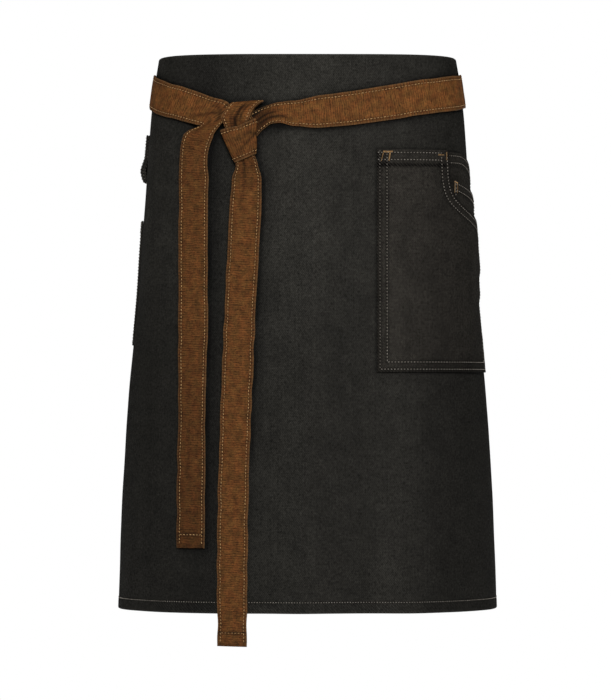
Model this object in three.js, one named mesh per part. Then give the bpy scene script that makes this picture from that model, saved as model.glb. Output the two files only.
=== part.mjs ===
// A denim waist apron, tied in front, in millimetres, with +Z up and the front facing -Y.
// The origin is the middle of the waist hollow, at the height where the ties pass the sides.
import * as THREE from 'three';

// Driving dimensions of the cloth panel
const CLOTH_WIDTH = 700;
const APRON_LENGTH = 500;
const TOP_ABOVE_TIES = 25;
const PANEL_WALL = 1.3;
const PANEL_HEM_WIDTH = 10;
const SEAT_GAP = 0.3;

// Driving dimensions of the body that the panel hangs round
const WAIST_HALF_WIDTH = 136;
const HEM_HALF_WIDTH = 173.5;
const WAIST_HALF_DEPTH = 98;
const HEM_HALF_DEPTH = 117;
const WAIST_SQUARENESS = 4;
const HEM_SQUARENESS = 2.8;
const FOLD_HEIGHT = 5;

// Driving dimensions of the two ties
const TIE_WIDTH = 26;
const TIE_THICKNESS = 1.8;
const TIE_GAP = 0.35;
const TIE_SEAT_GAP = 0.5;
const KNOT_ACROSS = -60;
const KNOT_BELOW_TOP = 64;
const SHORT_TAIL_LENGTH = 378;
const LONG_TAIL_LENGTH = 465;

// Driving dimensions of the front pocket, its facing and its coin pocket
const POCKET_LEFT = 62;
const POCKET_WIDTH = 138;
const POCKET_BELOW_TOP = 86;
const POCKET_HEIGHT = 199;
const POCKET_WALL = 1.2;
const POCKET_ROOM = 3.2;
const SCOOP_START = 66;
const SCOOP_DROP = 68;
const FACING_BEHIND_POCKET = 18;
const FACING_HEIGHT = 110;
const COIN_FROM_SCOOP = 7;
const COIN_BELOW = 26;
const COIN_FALL = 15;
const COIN_HEIGHT = 62;
const COIN_SIDE_MARGIN = 6;

// Driving dimensions of the side pocket and the side loop
const SIDE_POCKET_FRONT = 226;
const SIDE_POCKET_WIDTH = 92;
const SIDE_POCKET_BELOW_TOP = 145;
const SIDE_POCKET_HEIGHT = 115;
const LOOP_FRONT = 222;
const LOOP_WIDTH = 20;
const LOOP_BELOW_TOP = 65.5;
const LOOP_LENGTH = 44;
const LOOP_THICKNESS = 1.9;
const LOOP_BULGE = 3.4;

const TOP = TOP_ABOVE_TIES;
const HALF_CLOTH = CLOTH_WIDTH / 2;

// How the panel widens from the waist to the hem: shares of its length and of the change
const FLARE = [
  { down: 0, wider: 0 },
  { down: 0.04, wider: 0.09 },
  { down: 0.11, wider: 0.2 },
  { down: 0.25, wider: 0.33 },
  { down: 0.35, wider: 0.43 },
  { down: 0.44, wider: 0.52 },
  { down: 0.53, wider: 0.65 },
  { down: 0.62, wider: 0.76 },
  { down: 0.8, wider: 0.91 },
  { down: 1, wider: 1 },
];

// Soft upright folds of the lower panel: shares of the half cloth and of the fold height
const FOLDS = [
  { at: -0.86, wide: 0.09, high: 0.9 },
  { at: -0.46, wide: 0.07, high: -0.6 },
  { at: -0.22, wide: 0.08, high: 0.5 },
  { at: -0.02, wide: 0.06, high: 1 },
  { at: 0.14, wide: 0.07, high: -0.5 },
  { at: 0.27, wide: 0.06, high: 0.8 },
  { at: 0.47, wide: 0.08, high: -0.5 },
  { at: 0.84, wide: 0.09, high: 0.9 },
];
const FOLDS_START = 0.3;
const FOLDS_FULL = 0.95;

// Plain interpolation helpers
function clamp(value, low, high) {
  return Math.min(high, Math.max(low, value));
}

function mix(a, b, share) {
  return a + (b - a) * share;
}

function smoothStep(low, high, value) {
  const t = clamp((value - low) / (high - low), 0, 1);
  return t * t * (3 - 2 * t);
}

// A smooth curve through the rows of a table, with flat ends
function fromTable(rows, key, column, value) {
  const last = rows.length - 1;
  const x = clamp(value, rows[0][key], rows[last][key]);
  let i = 0;
  while (i < last - 1 && x > rows[i + 1][key]) i += 1;
  const a = rows[i];
  const b = rows[i + 1];
  const before = rows[Math.max(0, i - 1)];
  const after = rows[Math.min(last, i + 2)];
  const span = b[key] - a[key];
  const t = (x - a[key]) / span;
  const slopeA = (b[column] - before[column]) / (b[key] - before[key]);
  const slopeB = (after[column] - a[column]) / (after[key] - a[key]);
  const t2 = t * t;
  const t3 = t2 * t;
  return (2 * t3 - 3 * t2 + 1) * a[column] + (t3 - 2 * t2 + t) * span * slopeA
    + (3 * t2 - 2 * t3) * b[column] + (t3 - t2) * span * slopeB;
}

// The level section of the panel at one height: a rounded rectangle-like oval with its arc lengths
const ARC_STEPS = 160;
const SECTIONS_PER_MM = 100;
const sections = new Map();

function makeSection(z) {
  const down = (TOP - z) / APRON_LENGTH;
  const wider = fromTable(FLARE, 'down', 'wider', down);
  const a = mix(WAIST_HALF_WIDTH, HEM_HALF_WIDTH, wider);
  const b = mix(WAIST_HALF_DEPTH, HEM_HALF_DEPTH, wider);
  const n = mix(WAIST_SQUARENESS, HEM_SQUARENESS, wider);
  const points = [];
  let arc = 0;
  for (let i = 0; i <= ARC_STEPS; i += 1) {
    const angle = (i / ARC_STEPS) * Math.PI;
    const s = Math.sin(angle);
    const c = Math.cos(angle);
    const radius = (Math.abs(s / a) ** n + Math.abs(c / b) ** n) ** (-1 / n);
    const x = radius * s;
    const y = -radius * c;
    if (i > 0) arc += Math.hypot(x - points[i - 1].x, y - points[i - 1].y);
    points.push({ x, y, arc });
  }
  return { a, b, n, points, half: arc };
}

function sectionAt(z) {
  const key = Math.round(z * SECTIONS_PER_MM);
  if (!sections.has(key)) sections.set(key, makeSection(z));
  return sections.get(key);
}

// How far the folds push the cloth out at one place
function foldOut(across, z) {
  const down = (TOP - z) / APRON_LENGTH;
  const strength = smoothStep(FOLDS_START, FOLDS_FULL, down) * FOLD_HEIGHT;
  const share = across / HALF_CLOTH;
  return FOLDS.reduce((sum, f) => sum + strength * f.high * Math.exp(-(((share - f.at) / f.wide) ** 2)), 0);
}

// A point of space from its place on the cloth: arc length round from the front middle, height,
// and distance out from the panel's outer face
function place(across, z, out) {
  const section = sectionAt(z);
  const whole = 2 * section.half;
  const wrapped = across - whole * Math.round(across / whole);
  const distance = Math.abs(wrapped);
  let low = 0;
  let high = ARC_STEPS;
  while (high - low > 1) {
    const middle = (low + high) >> 1;
    if (section.points[middle].arc <= distance) low = middle;
    else high = middle;
  }
  const p = section.points[low];
  const q = section.points[high];
  const t = clamp((distance - p.arc) / (q.arc - p.arc), 0, 1);
  const x = mix(p.x, q.x, t);
  const y = mix(p.y, q.y, t);
  const nx = (Math.abs(x / section.a) ** (section.n - 1)) / section.a;
  const ny = Math.sign(y) * (Math.abs(y / section.b) ** (section.n - 1)) / section.b;
  const length = Math.hypot(nx, ny);
  const reach = out + foldOut(wrapped, z);
  const side = wrapped < 0 ? -1 : 1;
  return [side * (x + (nx / length) * reach), y + (ny / length) * reach, z];
}

// A closed sheet from a grid of outer points and a grid of inner points
function sheetGeometry(outer, inner) {
  const rows = outer.length;
  const columns = outer[0].length;
  const positions = [...outer.flat(), ...inner.flat()].flat();
  const index = [];
  const at = (layer, r, c) => layer * rows * columns + r * columns + c;
  const quad = (a, b, c, d) => index.push(a, b, c, a, c, d);
  for (let r = 0; r < rows - 1; r += 1) {
    for (let c = 0; c < columns - 1; c += 1) {
      quad(at(0, r, c), at(0, r + 1, c), at(0, r + 1, c + 1), at(0, r, c + 1));
      quad(at(1, r, c), at(1, r, c + 1), at(1, r + 1, c + 1), at(1, r + 1, c));
    }
  }
  for (let c = 0; c < columns - 1; c += 1) {
    quad(at(0, 0, c), at(0, 0, c + 1), at(1, 0, c + 1), at(1, 0, c));
    quad(at(0, rows - 1, c), at(1, rows - 1, c), at(1, rows - 1, c + 1), at(0, rows - 1, c + 1));
  }
  for (let r = 0; r < rows - 1; r += 1) {
    quad(at(0, r, 0), at(1, r, 0), at(1, r + 1, 0), at(0, r + 1, 0));
    quad(at(0, r, columns - 1), at(0, r + 1, columns - 1), at(1, r + 1, columns - 1), at(1, r, columns - 1));
  }
  const geometry = new THREE.BufferGeometry();
  geometry.setAttribute('position', new THREE.Float32BufferAttribute(positions, 3));
  geometry.setIndex(index);
  geometry.computeVertexNormals();
  return geometry;
}

// Even steps between two values, both included
function steps(from, to, count) {
  return Array.from({ length: count + 1 }, (_, i) => mix(from, to, i / count));
}

// The panel: one wrapped sheet, with its hems turned to the inside
const PANEL_BOTTOM = TOP - APRON_LENGTH;
const HEM_STEP = 0.8;
const PANEL_COLUMNS = 60;
const PANEL_ROWS = 15;
const PANEL_INNER_EDGE = HALF_CLOTH - PANEL_HEM_WIDTH;
const PANEL_ACROSS = steps(-PANEL_INNER_EDGE, PANEL_INNER_EDGE, PANEL_COLUMNS);
const LEAST_COLUMN = 2;

// Two edges with the panel's own columns between them, so that a patch bends where the panel bends
function columnsBetween(left, right) {
  const between = PANEL_ACROSS.filter((u) => u > left + LEAST_COLUMN && u < right - LEAST_COLUMN);
  return [left, ...between, right];
}

function panelGeometry() {
  const acrossList = [
    -HALF_CLOTH,
    -PANEL_INNER_EDGE - HEM_STEP,
    ...PANEL_ACROSS,
    PANEL_INNER_EDGE + HEM_STEP,
    HALF_CLOTH,
  ];
  const topHem = TOP - PANEL_HEM_WIDTH;
  const bottomHem = PANEL_BOTTOM + PANEL_HEM_WIDTH;
  const heights = [
    TOP,
    topHem,
    ...steps(topHem - HEM_STEP, bottomHem + HEM_STEP, PANEL_ROWS),
    bottomHem,
    PANEL_BOTTOM,
  ];
  const hemmed = (across, z) => Math.abs(across) > PANEL_INNER_EDGE + HEM_STEP / 2
    || z > topHem - HEM_STEP / 2
    || z < bottomHem + HEM_STEP / 2;
  const outer = heights.map((z) => acrossList.map((u) => place(u, z, 0)));
  const inner = heights.map((z) => acrossList.map((u) => (
    place(u, z, hemmed(u, z) ? -2 * PANEL_WALL : -PANEL_WALL))));
  return sheetGeometry(outer, inner);
}

// A patch sewn on the panel. Its top may slope, and its height over the panel is a function
function patchGeometry({ acrossList, top, bottom, rowShares, under, wall }) {
  const grid = (extra) => rowShares.map((share) => acrossList.map((u) => {
    const z = mix(top(u), bottom, share);
    return place(u, z, under(u, z) + extra);
  }));
  return sheetGeometry(grid(wall), grid(0));
}

// Over a covered box of the cloth an upper layer is lifted fully within the margin round the box,
// and eases down to the panel outside that: 1 to 0
const LAYER_MARGIN = 17;
const LAYER_EASE = 10;

function liftedOver(box, u, z) {
  const far = Math.max(box.left - u, u - box.right, box.bottom - z, z - box.top);
  return 1 - smoothStep(LAYER_MARGIN, LAYER_MARGIN + LAYER_EASE, far);
}

// How far a pocket stands off between its side seams, and upwards from its bottom seam: 0 to 1
const ROOM_FULLNESS = 0.6;

function pocketRoom(shareAcross, shareUp) {
  return (Math.sin(Math.PI * shareAcross) * Math.sin((Math.PI / 2) * shareUp)) ** ROOM_FULLNESS;
}

const POCKET_TOP = TOP - POCKET_BELOW_TOP;
const POCKET_BOTTOM = POCKET_TOP - POCKET_HEIGHT;
const POCKET_RIGHT = POCKET_LEFT + POCKET_WIDTH;
const SEAM_MARGIN = 9;

const FACING_BOX = {
  left: POCKET_LEFT + SCOOP_START - FACING_BEHIND_POCKET,
  right: POCKET_RIGHT,
  top: POCKET_TOP,
  bottom: POCKET_TOP - FACING_HEIGHT,
};
const COIN_BOX = {
  left: POCKET_LEFT + SCOOP_START + COIN_FROM_SCOOP,
  right: POCKET_RIGHT - COIN_SIDE_MARGIN,
  top: POCKET_TOP - COIN_BELOW,
  bottom: POCKET_TOP - COIN_BELOW - COIN_HEIGHT,
};
const FACING_ROWS = 6;
const COIN_ROWS = 5;
const SIDE_POCKET_ROWS = 9;
const POCKET_ROW_SHARES = [0, 0.06, ...steps(0.15, 0.9, 8), 0.95, 1];
const FACING_OUT = SEAT_GAP + POCKET_WALL;
const COIN_OUT = FACING_OUT + SEAT_GAP + POCKET_WALL;

function facingGeometry() {
  return patchGeometry({
    acrossList: columnsBetween(FACING_BOX.left, FACING_BOX.right),
    top: () => FACING_BOX.top,
    bottom: FACING_BOX.bottom,
    rowShares: steps(0, 1, FACING_ROWS),
    under: () => SEAT_GAP,
    wall: POCKET_WALL,
  });
}

function coinTop(u) {
  const share = (u - COIN_BOX.left) / (COIN_BOX.right - COIN_BOX.left);
  return COIN_BOX.top - COIN_FALL * share;
}

function coinPocketGeometry() {
  return patchGeometry({
    acrossList: columnsBetween(COIN_BOX.left, COIN_BOX.right),
    top: coinTop,
    bottom: COIN_BOX.bottom,
    rowShares: steps(0, 1, COIN_ROWS),
    under: () => FACING_OUT + SEAT_GAP,
    wall: POCKET_WALL,
  });
}

// The scooped corner of the front pocket: shares of the scoop's width and of its drop
const SCOOP = [
  { along: 0, fall: 0 },
  { along: 0.005, fall: 0.18 },
  { along: 0.015, fall: 0.35 },
  { along: 0.045, fall: 0.48 },
  { along: 0.085, fall: 0.55 },
  { along: 0.165, fall: 0.62 },
  { along: 0.29, fall: 0.7 },
  { along: 0.47, fall: 0.78 },
  { along: 0.76, fall: 0.87 },
  { along: 1, fall: 1 },
];
const SCOOP_STEEP_ROWS = SCOOP.slice(1, 7);

function pocketTop(u) {
  const along = (u - POCKET_LEFT - SCOOP_START) / (POCKET_WIDTH - SCOOP_START);
  if (along <= 0) return POCKET_TOP;
  return POCKET_TOP - SCOOP_DROP * fromTable(SCOOP, 'along', 'fall', along);
}

// The front pocket lies on the panel at its sewn margins, over the facing and coin pocket where
// they are, and stands off a little between
function pocketUnder(u, z) {
  const layers = SEAT_GAP + FACING_OUT * liftedOver(FACING_BOX, u, z)
    + (COIN_OUT - FACING_OUT) * liftedOver(COIN_BOX, u, z);
  const shareAcross = clamp((u - POCKET_LEFT - SEAM_MARGIN) / (POCKET_WIDTH - 2 * SEAM_MARGIN), 0, 1);
  const roomFoot = POCKET_BOTTOM + SEAM_MARGIN;
  const shareUp = clamp((z - roomFoot) / (pocketTop(u) - roomFoot), 0, 1);
  return Math.max(layers, mix(layers, SEAT_GAP + POCKET_ROOM, pocketRoom(shareAcross, shareUp)));
}

function utilityPocketGeometry() {
  const scoopLeft = POCKET_LEFT + SCOOP_START;
  const scoopWidth = POCKET_WIDTH - SCOOP_START;
  const acrossList = [
    ...columnsBetween(POCKET_LEFT, POCKET_RIGHT),
    scoopLeft,
    ...SCOOP_STEEP_ROWS.map((row) => scoopLeft + row.along * scoopWidth),
  ];
  return patchGeometry({
    acrossList: [...new Set(acrossList)].sort((a, b) => a - b),
    top: pocketTop,
    bottom: POCKET_BOTTOM,
    rowShares: POCKET_ROW_SHARES,
    under: pocketUnder,
    wall: POCKET_WALL,
  });
}

// The side pocket, past the left outline
function sidePocketGeometry() {
  const left = -SIDE_POCKET_FRONT - SIDE_POCKET_WIDTH;
  const right = -SIDE_POCKET_FRONT;
  const top = TOP - SIDE_POCKET_BELOW_TOP;
  const bottom = top - SIDE_POCKET_HEIGHT;
  const under = (u, z) => {
    const shareAcross = clamp((u - left) / SIDE_POCKET_WIDTH, 0, 1);
    const shareUp = clamp((z - bottom) / SIDE_POCKET_HEIGHT, 0, 1);
    return SEAT_GAP + POCKET_ROOM * pocketRoom(shareAcross, shareUp);
  };
  return patchGeometry({
    acrossList: columnsBetween(left, right),
    top: () => top,
    bottom,
    rowShares: steps(0, 1, SIDE_POCKET_ROWS),
    under,
    wall: POCKET_WALL,
  });
}

// A flat ribbon along a route. Each row gives a point on the cloth, the lean of the ribbon's width
// from upright, in degrees, and its width
const FINE_STEPS = 24;
const STATION_LENGTH = 12;
const STATION_TURN = 0.3;

function ribbonGeometry(rows, thickness) {
  const curve = new THREE.CatmullRomCurve3(
    rows.map((r) => new THREE.Vector3(r.across, r.height, r.out)),
    false,
    'centripetal',
  );
  const spans = rows.length - 1;
  const sample = (t) => {
    const i = Math.min(Math.floor(t * spans), spans - 1);
    const ease = t * spans - i;
    const lean = THREE.MathUtils.degToRad(mix(rows[i].lean, rows[i + 1].lean, ease));
    const tangent = curve.getTangent(t);
    const centre = curve.getPoint(t);
    const width = new THREE.Vector3(Math.sin(lean), Math.cos(lean), 0);
    return {
      centre,
      spot: new THREE.Vector3(...placeOnGirth(centre.x, centre.y, centre.z)),
      tangent,
      width,
      normal: tangent.clone().cross(width).normalize(),
      half: mix(rows[i].wide, rows[i + 1].wide, smoothStep(0, 1, ease)) / 2,
    };
  };
  const fine = Array.from({ length: spans * FINE_STEPS + 1 }, (_, i) => sample(i / (spans * FINE_STEPS)));
  const stations = [fine[0]];
  let length = 0;
  let turn = 0;
  let heading = fine[1].spot.clone().sub(fine[0].spot);
  for (let i = 1; i < fine.length; i += 1) {
    const step = fine[i].spot.clone().sub(fine[i - 1].spot);
    length += step.length() / STATION_LENGTH;
    turn += (step.angleTo(heading) + fine[i].width.angleTo(fine[i - 1].width)) / STATION_TURN;
    heading = step;
    if (length + turn >= 1 || i === fine.length - 1) {
      stations.push(fine[i]);
      length = 0;
      turn = 0;
    }
  }
  const face = (side) => stations.map((s) => [-1, 0, 1].map((k) => {
    const p = s.centre.clone()
      .addScaledVector(s.width, k * s.half)
      .addScaledVector(s.normal, side * thickness * 0.5);
    return placeOnGirth(p.x, p.y, p.z);
  }));
  return sheetGeometry(face(1), face(-1));
}

// The girth at tie height. Far from the front, a distance round is scaled by the girth at its own
// height, so that a band round the flared sides isn't sheared
const GIRTH_HALF = sectionAt(0).half;
const FRONT_FLAT = 0.72 * WAIST_HALF_WIDTH;
const SIDE_START = 1.4 * WAIST_HALF_WIDTH;

function placeOnGirth(across, z, out) {
  const share = smoothStep(FRONT_FLAT, SIDE_START, Math.abs(across));
  const scale = mix(1, sectionAt(z).half / GIRTH_HALF, share);
  return place(across * scale, z, out);
}

// Layers of tie over the panel: layer 0 lies on it
const LAYER = TIE_THICKNESS + TIE_GAP;

function layerOut(layer) {
  return TIE_SEAT_GAP + TIE_THICKNESS / 2 + layer * LAYER;
}

// A row of the back stretch: steps and drops in tie widths. Steps go from the tie's own back corner
// of the cloth, from the middle of the back, or from the far back corner, and drops from the top edge
const BACK = [
  { from: 'own', step: -1.15, drop: 0.49, longLayer: 0, lean: 1 },
  { from: 'own', step: -0.5, drop: 0.5, longLayer: 0, lean: 3 },
  { from: 'own', step: 0.3, drop: 0.56, longLayer: 1, lean: 8 },
  { from: 'own', step: 1.1, drop: 0.71, longLayer: 1, lean: 11 },
  { from: 'middle', step: 0, drop: 1.06, longLayer: 1.05, lean: 12 },
  { from: 'far', step: 1.1, drop: 1.4, longLayer: 1, lean: 11 },
  { from: 'far', step: 0.15, drop: 1.58, longLayer: 1, lean: 6 },
  { from: 'far', step: -1, drop: 1.62, longLayer: 0, lean: 0 },
];

function backRow(row, side, layer) {
  const starts = { own: 2 * GIRTH_HALF - HALF_CLOTH, middle: GIRTH_HALF, far: HALF_CLOTH };
  const way = row.from === 'own' ? -1 : 1;
  return {
    across: side * (starts[row.from] + way * row.step * TIE_WIDTH),
    height: TOP - row.drop * TIE_WIDTH,
    out: layerOut(layer),
    lean: -side * row.lean,
    wide: TIE_WIDTH,
  };
}

// A row of a belt: distance round as a share of half the girth, height and width in tie widths
function beltRow(row) {
  return {
    across: row.round * GIRTH_HALF,
    height: row.up * TIE_WIDTH,
    out: layerOut(0),
    lean: row.lean,
    wide: row.wide * TIE_WIDTH,
  };
}

// A row near the knot: distances from the knot in tie widths
function knotRow(row) {
  return {
    across: KNOT_ACROSS + row.right * TIE_WIDTH,
    height: TOP - KNOT_BELOW_TOP + row.up * TIE_WIDTH,
    out: layerOut(row.layer),
    lean: row.lean,
    wide: row.wide * TIE_WIDTH,
  };
}

// A row of a hanging tail: its fall as a share of the tail's length
function tailRow(row, length) {
  return knotRow({ ...row, up: (-row.fall * length) / TIE_WIDTH });
}

// The short tie: sewn at the right back corner, round the back and the left side to the knot, where
// it turns down under the long tie and hangs
const SHORT_BELT = [
  { round: -0.65, up: -0.38, lean: -6, wide: 1.1 },
  { round: -0.55, up: -0.14, lean: -2, wide: 1.15 },
  { round: -0.45, up: -0.12, lean: 7, wide: 1.16 },
  { round: -0.37, up: -0.32, lean: 15, wide: 1.16 },
  { round: -0.3, up: -0.6, lean: 18, wide: 1.16 },
];
const SHORT_TURN = [
  { right: -1.68, up: 0.64, layer: 0.8, lean: 20, wide: 1.1 },
  { right: -1.18, up: 0.47, layer: 1.7, lean: 28, wide: 1.09 },
  { right: -0.87, up: 0.36, layer: 2, lean: 52, wide: 1.22 },
  { right: -0.83, up: 0.23, layer: 2, lean: 63, wide: 1.2 },
  { right: -0.89, up: 0.09, layer: 2, lean: 74, wide: 1.06 },
  { right: -1.1, up: -0.05, layer: 1.9, lean: 83, wide: 0.9 },
  { right: -1.3, up: -0.22, layer: 1.6, lean: 95, wide: 0.92 },
  { right: -1.44, up: -0.42, layer: 1.3, lean: 102, wide: 1.01 },
  { right: -1.55, up: -0.72, layer: 0.9, lean: 100, wide: 1.02 },
  { right: -1.61, up: -1.12, layer: 0.5, lean: 96, wide: 1 },
  { right: -1.62, up: -1.9, layer: 0.2, lean: 92, wide: 1.03 },
];
const SHORT_TAIL = [
  { right: -1.64, fall: 0.28, layer: 0.1, lean: 90.4, wide: 1.03 },
  { right: -1.62, fall: 0.47, layer: 0.1, lean: 90.4, wide: 1.02 },
  { right: -1.65, fall: 0.62, layer: 0.1, lean: 90.4, wide: 0.94 },
  { right: -1.68, fall: 1, layer: 0.1, lean: 90.4, wide: 0.96 },
];

// The long tie: sewn at the left back corner, round the back and the right side, behind the knot,
// across its front as a collar, behind again, up and over the top, down under the collar, and on
// down as the long tail
const LONG_BELT = [
  { round: 0.65, up: -0.34, lean: 5, wide: 1.06 },
  { round: 0.55, up: -0.06, lean: 2, wide: 1.12 },
  { round: 0.47, up: -0.07, lean: -5, wide: 1.15 },
  { round: 0.39, up: -0.2, lean: -9, wide: 1.17 },
  { round: 0.26, up: -0.48, lean: -10, wide: 1.2 },
  { round: 0.19, up: -0.68, lean: -9, wide: 1.2 },
  { round: 0.095, up: -0.91, lean: -8, wide: 1.18 },
  { round: 0.03, up: -1.04, lean: -5, wide: 1.12 },
];
const LONG_KNOT = [
  { right: 1.85, up: 0.4, layer: 0, lean: -2, wide: 0.9 },
  { right: 1.34, up: 0.42, layer: 0, lean: 0, wide: 0.73 },
  { right: 0.99, up: 0.36, layer: 0, lean: -6, wide: 0.66 },
  { right: 0.7, up: 0.2, layer: 0, lean: -20, wide: 0.7 },
  { right: 0.32, up: -0.1, layer: 0, lean: -24, wide: 0.85 },
  { right: -0.1, up: -0.5, layer: 0.1, lean: -24, wide: 1.1 },
  { right: -0.37, up: -0.73, layer: 1.1, lean: -24, wide: 1.22 },
  { right: -0.39, up: -0.75, layer: 2.9, lean: -24, wide: 1.22 },
  { right: -0.18, up: -0.68, layer: 4, lean: -22, wide: 1.19 },
  { right: 0.12, up: -0.59, layer: 4.2, lean: -14, wide: 1.13 },
  { right: 0.38, up: -0.47, layer: 4.1, lean: -5, wide: 1.17 },
  { right: 0.53, up: -0.41, layer: 3.3, lean: -1, wide: 1.22 },
  { right: 0.54, up: -0.38, layer: 2.3, lean: 1, wide: 1.16 },
  { right: 0.42, up: -0.28, layer: 1.4, lean: 12, wide: 0.9 },
  { right: 0.16, up: 0.06, layer: 1.05, lean: 45, wide: 0.7 },
  { right: 0.14, up: 0.42, layer: 1.1, lean: 76, wide: 0.74 },
  { right: 0.26, up: 0.77, layer: 2.1, lean: 86, wide: 1.08 },
  { right: 0.13, up: 0.7, layer: 3.1, lean: 86, wide: 1.06 },
  { right: -0.02, up: 0.5, layer: 3.4, lean: 84, wide: 1 },
  { right: -0.12, up: 0.28, layer: 3.3, lean: 88, wide: 0.98 },
  { right: -0.12, up: 0, layer: 3.1, lean: 88, wide: 0.82 },
  { right: -0.02, up: -0.4, layer: 2.8, lean: 86, wide: 0.64 },
  { right: 0.12, up: -0.9, layer: 2.5, lean: 84, wide: 0.64 },
  { right: 0.23, up: -1.38, layer: 2.2, lean: 87, wide: 0.76 },
  { right: 0.22, up: -1.9, layer: 1.1, lean: 90, wide: 1.03 },
  { right: 0.18, up: -2.8, layer: 0.2, lean: 92, wide: 1.1 },
];
const LONG_TAIL = [
  { right: 0.02, fall: 0.33, layer: 0.1, lean: 92, wide: 1.07 },
  { right: -0.18, fall: 0.62, layer: 0.1, lean: 92, wide: 1.06 },
  { right: -0.25, fall: 0.8, layer: 0.1, lean: 92, wide: 1.04 },
  { right: -0.25, fall: 1, layer: 0.1, lean: 91.5, wide: 1 },
];

function shortTieGeometry() {
  return ribbonGeometry([
    ...BACK.map((row) => backRow(row, -1, 0)),
    ...SHORT_BELT.map(beltRow),
    ...SHORT_TURN.map(knotRow),
    ...SHORT_TAIL.map((row) => tailRow(row, SHORT_TAIL_LENGTH)),
  ], TIE_THICKNESS);
}

function longTieGeometry() {
  return ribbonGeometry([
    ...BACK.map((row) => backRow(row, 1, row.longLayer)),
    ...LONG_BELT.map(beltRow),
    ...LONG_KNOT.map(knotRow),
    ...LONG_TAIL.map((row) => tailRow(row, LONG_TAIL_LENGTH)),
  ], TIE_THICKNESS);
}

// The side loop: a band folded in half at its bottom, both ends sewn together at its top
const LOOP_ROUTE = [
  { fall: 0, share: 0 },
  { fall: 0.3, share: 0 },
  { fall: 0.48, share: 0.02 },
  { fall: 0.62, share: 0.33 },
  { fall: 0.75, share: 0.52 },
  { fall: 0.87, share: 0.3 },
  { fall: 0.96, share: 0.12 },
  { fall: 1, share: 0.28 },
  { fall: 0.97, share: 0.5 },
  { fall: 0.89, share: 0.75 },
  { fall: 0.76, share: 0.98 },
  { fall: 0.63, share: 0.75 },
  { fall: 0.49, share: 0.46 },
  { fall: 0.3, share: 0.42 },
  { fall: 0, share: 0.42 },
];

function loopGeometry() {
  const inner = SEAT_GAP + LOOP_THICKNESS / 2;
  const spread = LOOP_BULGE + LOOP_THICKNESS;
  const rows = LOOP_ROUTE.map((r) => ({
    across: -LOOP_FRONT - LOOP_WIDTH / 2,
    height: TOP - LOOP_BELOW_TOP - r.fall * (LOOP_LENGTH - LOOP_THICKNESS / 2),
    out: inner + r.share * spread,
    lean: 90,
    wide: LOOP_WIDTH,
  }));
  return ribbonGeometry(rows, LOOP_THICKNESS);
}

// Materials
const denim = new THREE.MeshStandardMaterial({ color: '#2e2f2d', roughness: 0.9, metalness: 0 });
const pocketDenim = new THREE.MeshStandardMaterial({ color: '#33312e', roughness: 0.9, metalness: 0 });
const tieDenim = new THREE.MeshStandardMaterial({ color: '#8a5f3c', roughness: 0.85, metalness: 0 });

function piece(name, geometry, material) {
  const mesh = new THREE.Mesh(geometry, material);
  mesh.name = name;
  return mesh;
}

const apron = new THREE.Group();
apron.add(piece('apron_panel', panelGeometry(), denim));
apron.add(piece('pocket_facing', facingGeometry(), pocketDenim));
apron.add(piece('coin_pocket', coinPocketGeometry(), pocketDenim));
apron.add(piece('utility_pocket', utilityPocketGeometry(), pocketDenim));
apron.add(piece('side_pocket', sidePocketGeometry(), denim));
apron.add(piece('side_loop', loopGeometry(), denim));
apron.add(piece('tie_short', shortTieGeometry(), tieDenim));
apron.add(piece('tie_long', longTieGeometry(), tieDenim));

export default apron;
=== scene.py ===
"""The looks of a denim waist apron with brown tie strings, in metres, +Z up and the front facing -Y.

Every cloth piece is a flat grid laid on the form in the same cloth coordinates as the modelled solids:
a distance round the waist from the front middle, a height, and a distance out from the panel's face.
"""
import math

import bpy
import numpy as np
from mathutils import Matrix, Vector


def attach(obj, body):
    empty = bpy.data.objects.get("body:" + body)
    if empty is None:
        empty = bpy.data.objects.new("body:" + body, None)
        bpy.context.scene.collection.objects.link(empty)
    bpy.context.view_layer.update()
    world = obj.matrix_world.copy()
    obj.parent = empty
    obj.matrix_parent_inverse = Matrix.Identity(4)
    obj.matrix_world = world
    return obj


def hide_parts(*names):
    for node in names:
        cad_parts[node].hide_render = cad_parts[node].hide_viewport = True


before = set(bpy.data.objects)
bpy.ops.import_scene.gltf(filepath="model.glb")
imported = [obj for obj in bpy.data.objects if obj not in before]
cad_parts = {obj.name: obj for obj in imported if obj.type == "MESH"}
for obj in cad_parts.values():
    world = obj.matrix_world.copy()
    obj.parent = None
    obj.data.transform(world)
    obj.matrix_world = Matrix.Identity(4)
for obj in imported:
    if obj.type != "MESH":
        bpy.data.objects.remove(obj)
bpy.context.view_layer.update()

MM = 0.001


def rows(columns, *values):
    """A table as a list of rows with named columns."""
    names = columns.split()
    return [dict(zip(names, row)) for row in values]


# Driving sizes of the panel and of the waist form that it hangs on
CLOTH_WIDTH = 700 * MM
APRON_LENGTH = 500 * MM
TOP = 25 * MM
HEM_WIDTH = 10 * MM
PANEL_CLOTH = 0.95 * MM
HEM_LAYER = 1.1 * MM
SEAT_GAP = 0.3 * MM
WAIST_HALF_WIDTH = 136 * MM
HEM_HALF_WIDTH = 173.5 * MM
WAIST_HALF_DEPTH = 98 * MM
HEM_HALF_DEPTH = 117 * MM
WAIST_SQUARENESS = 4
HEM_SQUARENESS = 2.8
FOLD_HEIGHT = 5 * MM
HALF_CLOTH = CLOTH_WIDTH / 2
BOTTOM = TOP - APRON_LENGTH

# Driving sizes of the ties
TIE_WIDTH = 26 * MM
TIE_THICKNESS = 1.8 * MM
TIE_GAP = 0.35 * MM
TIE_SEAT_GAP = 0.5 * MM
KNOT_ACROSS = -60 * MM
KNOT_BELOW_TOP = 64 * MM
SHORT_TAIL_LENGTH = 378 * MM
LONG_TAIL_LENGTH = 465 * MM

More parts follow.
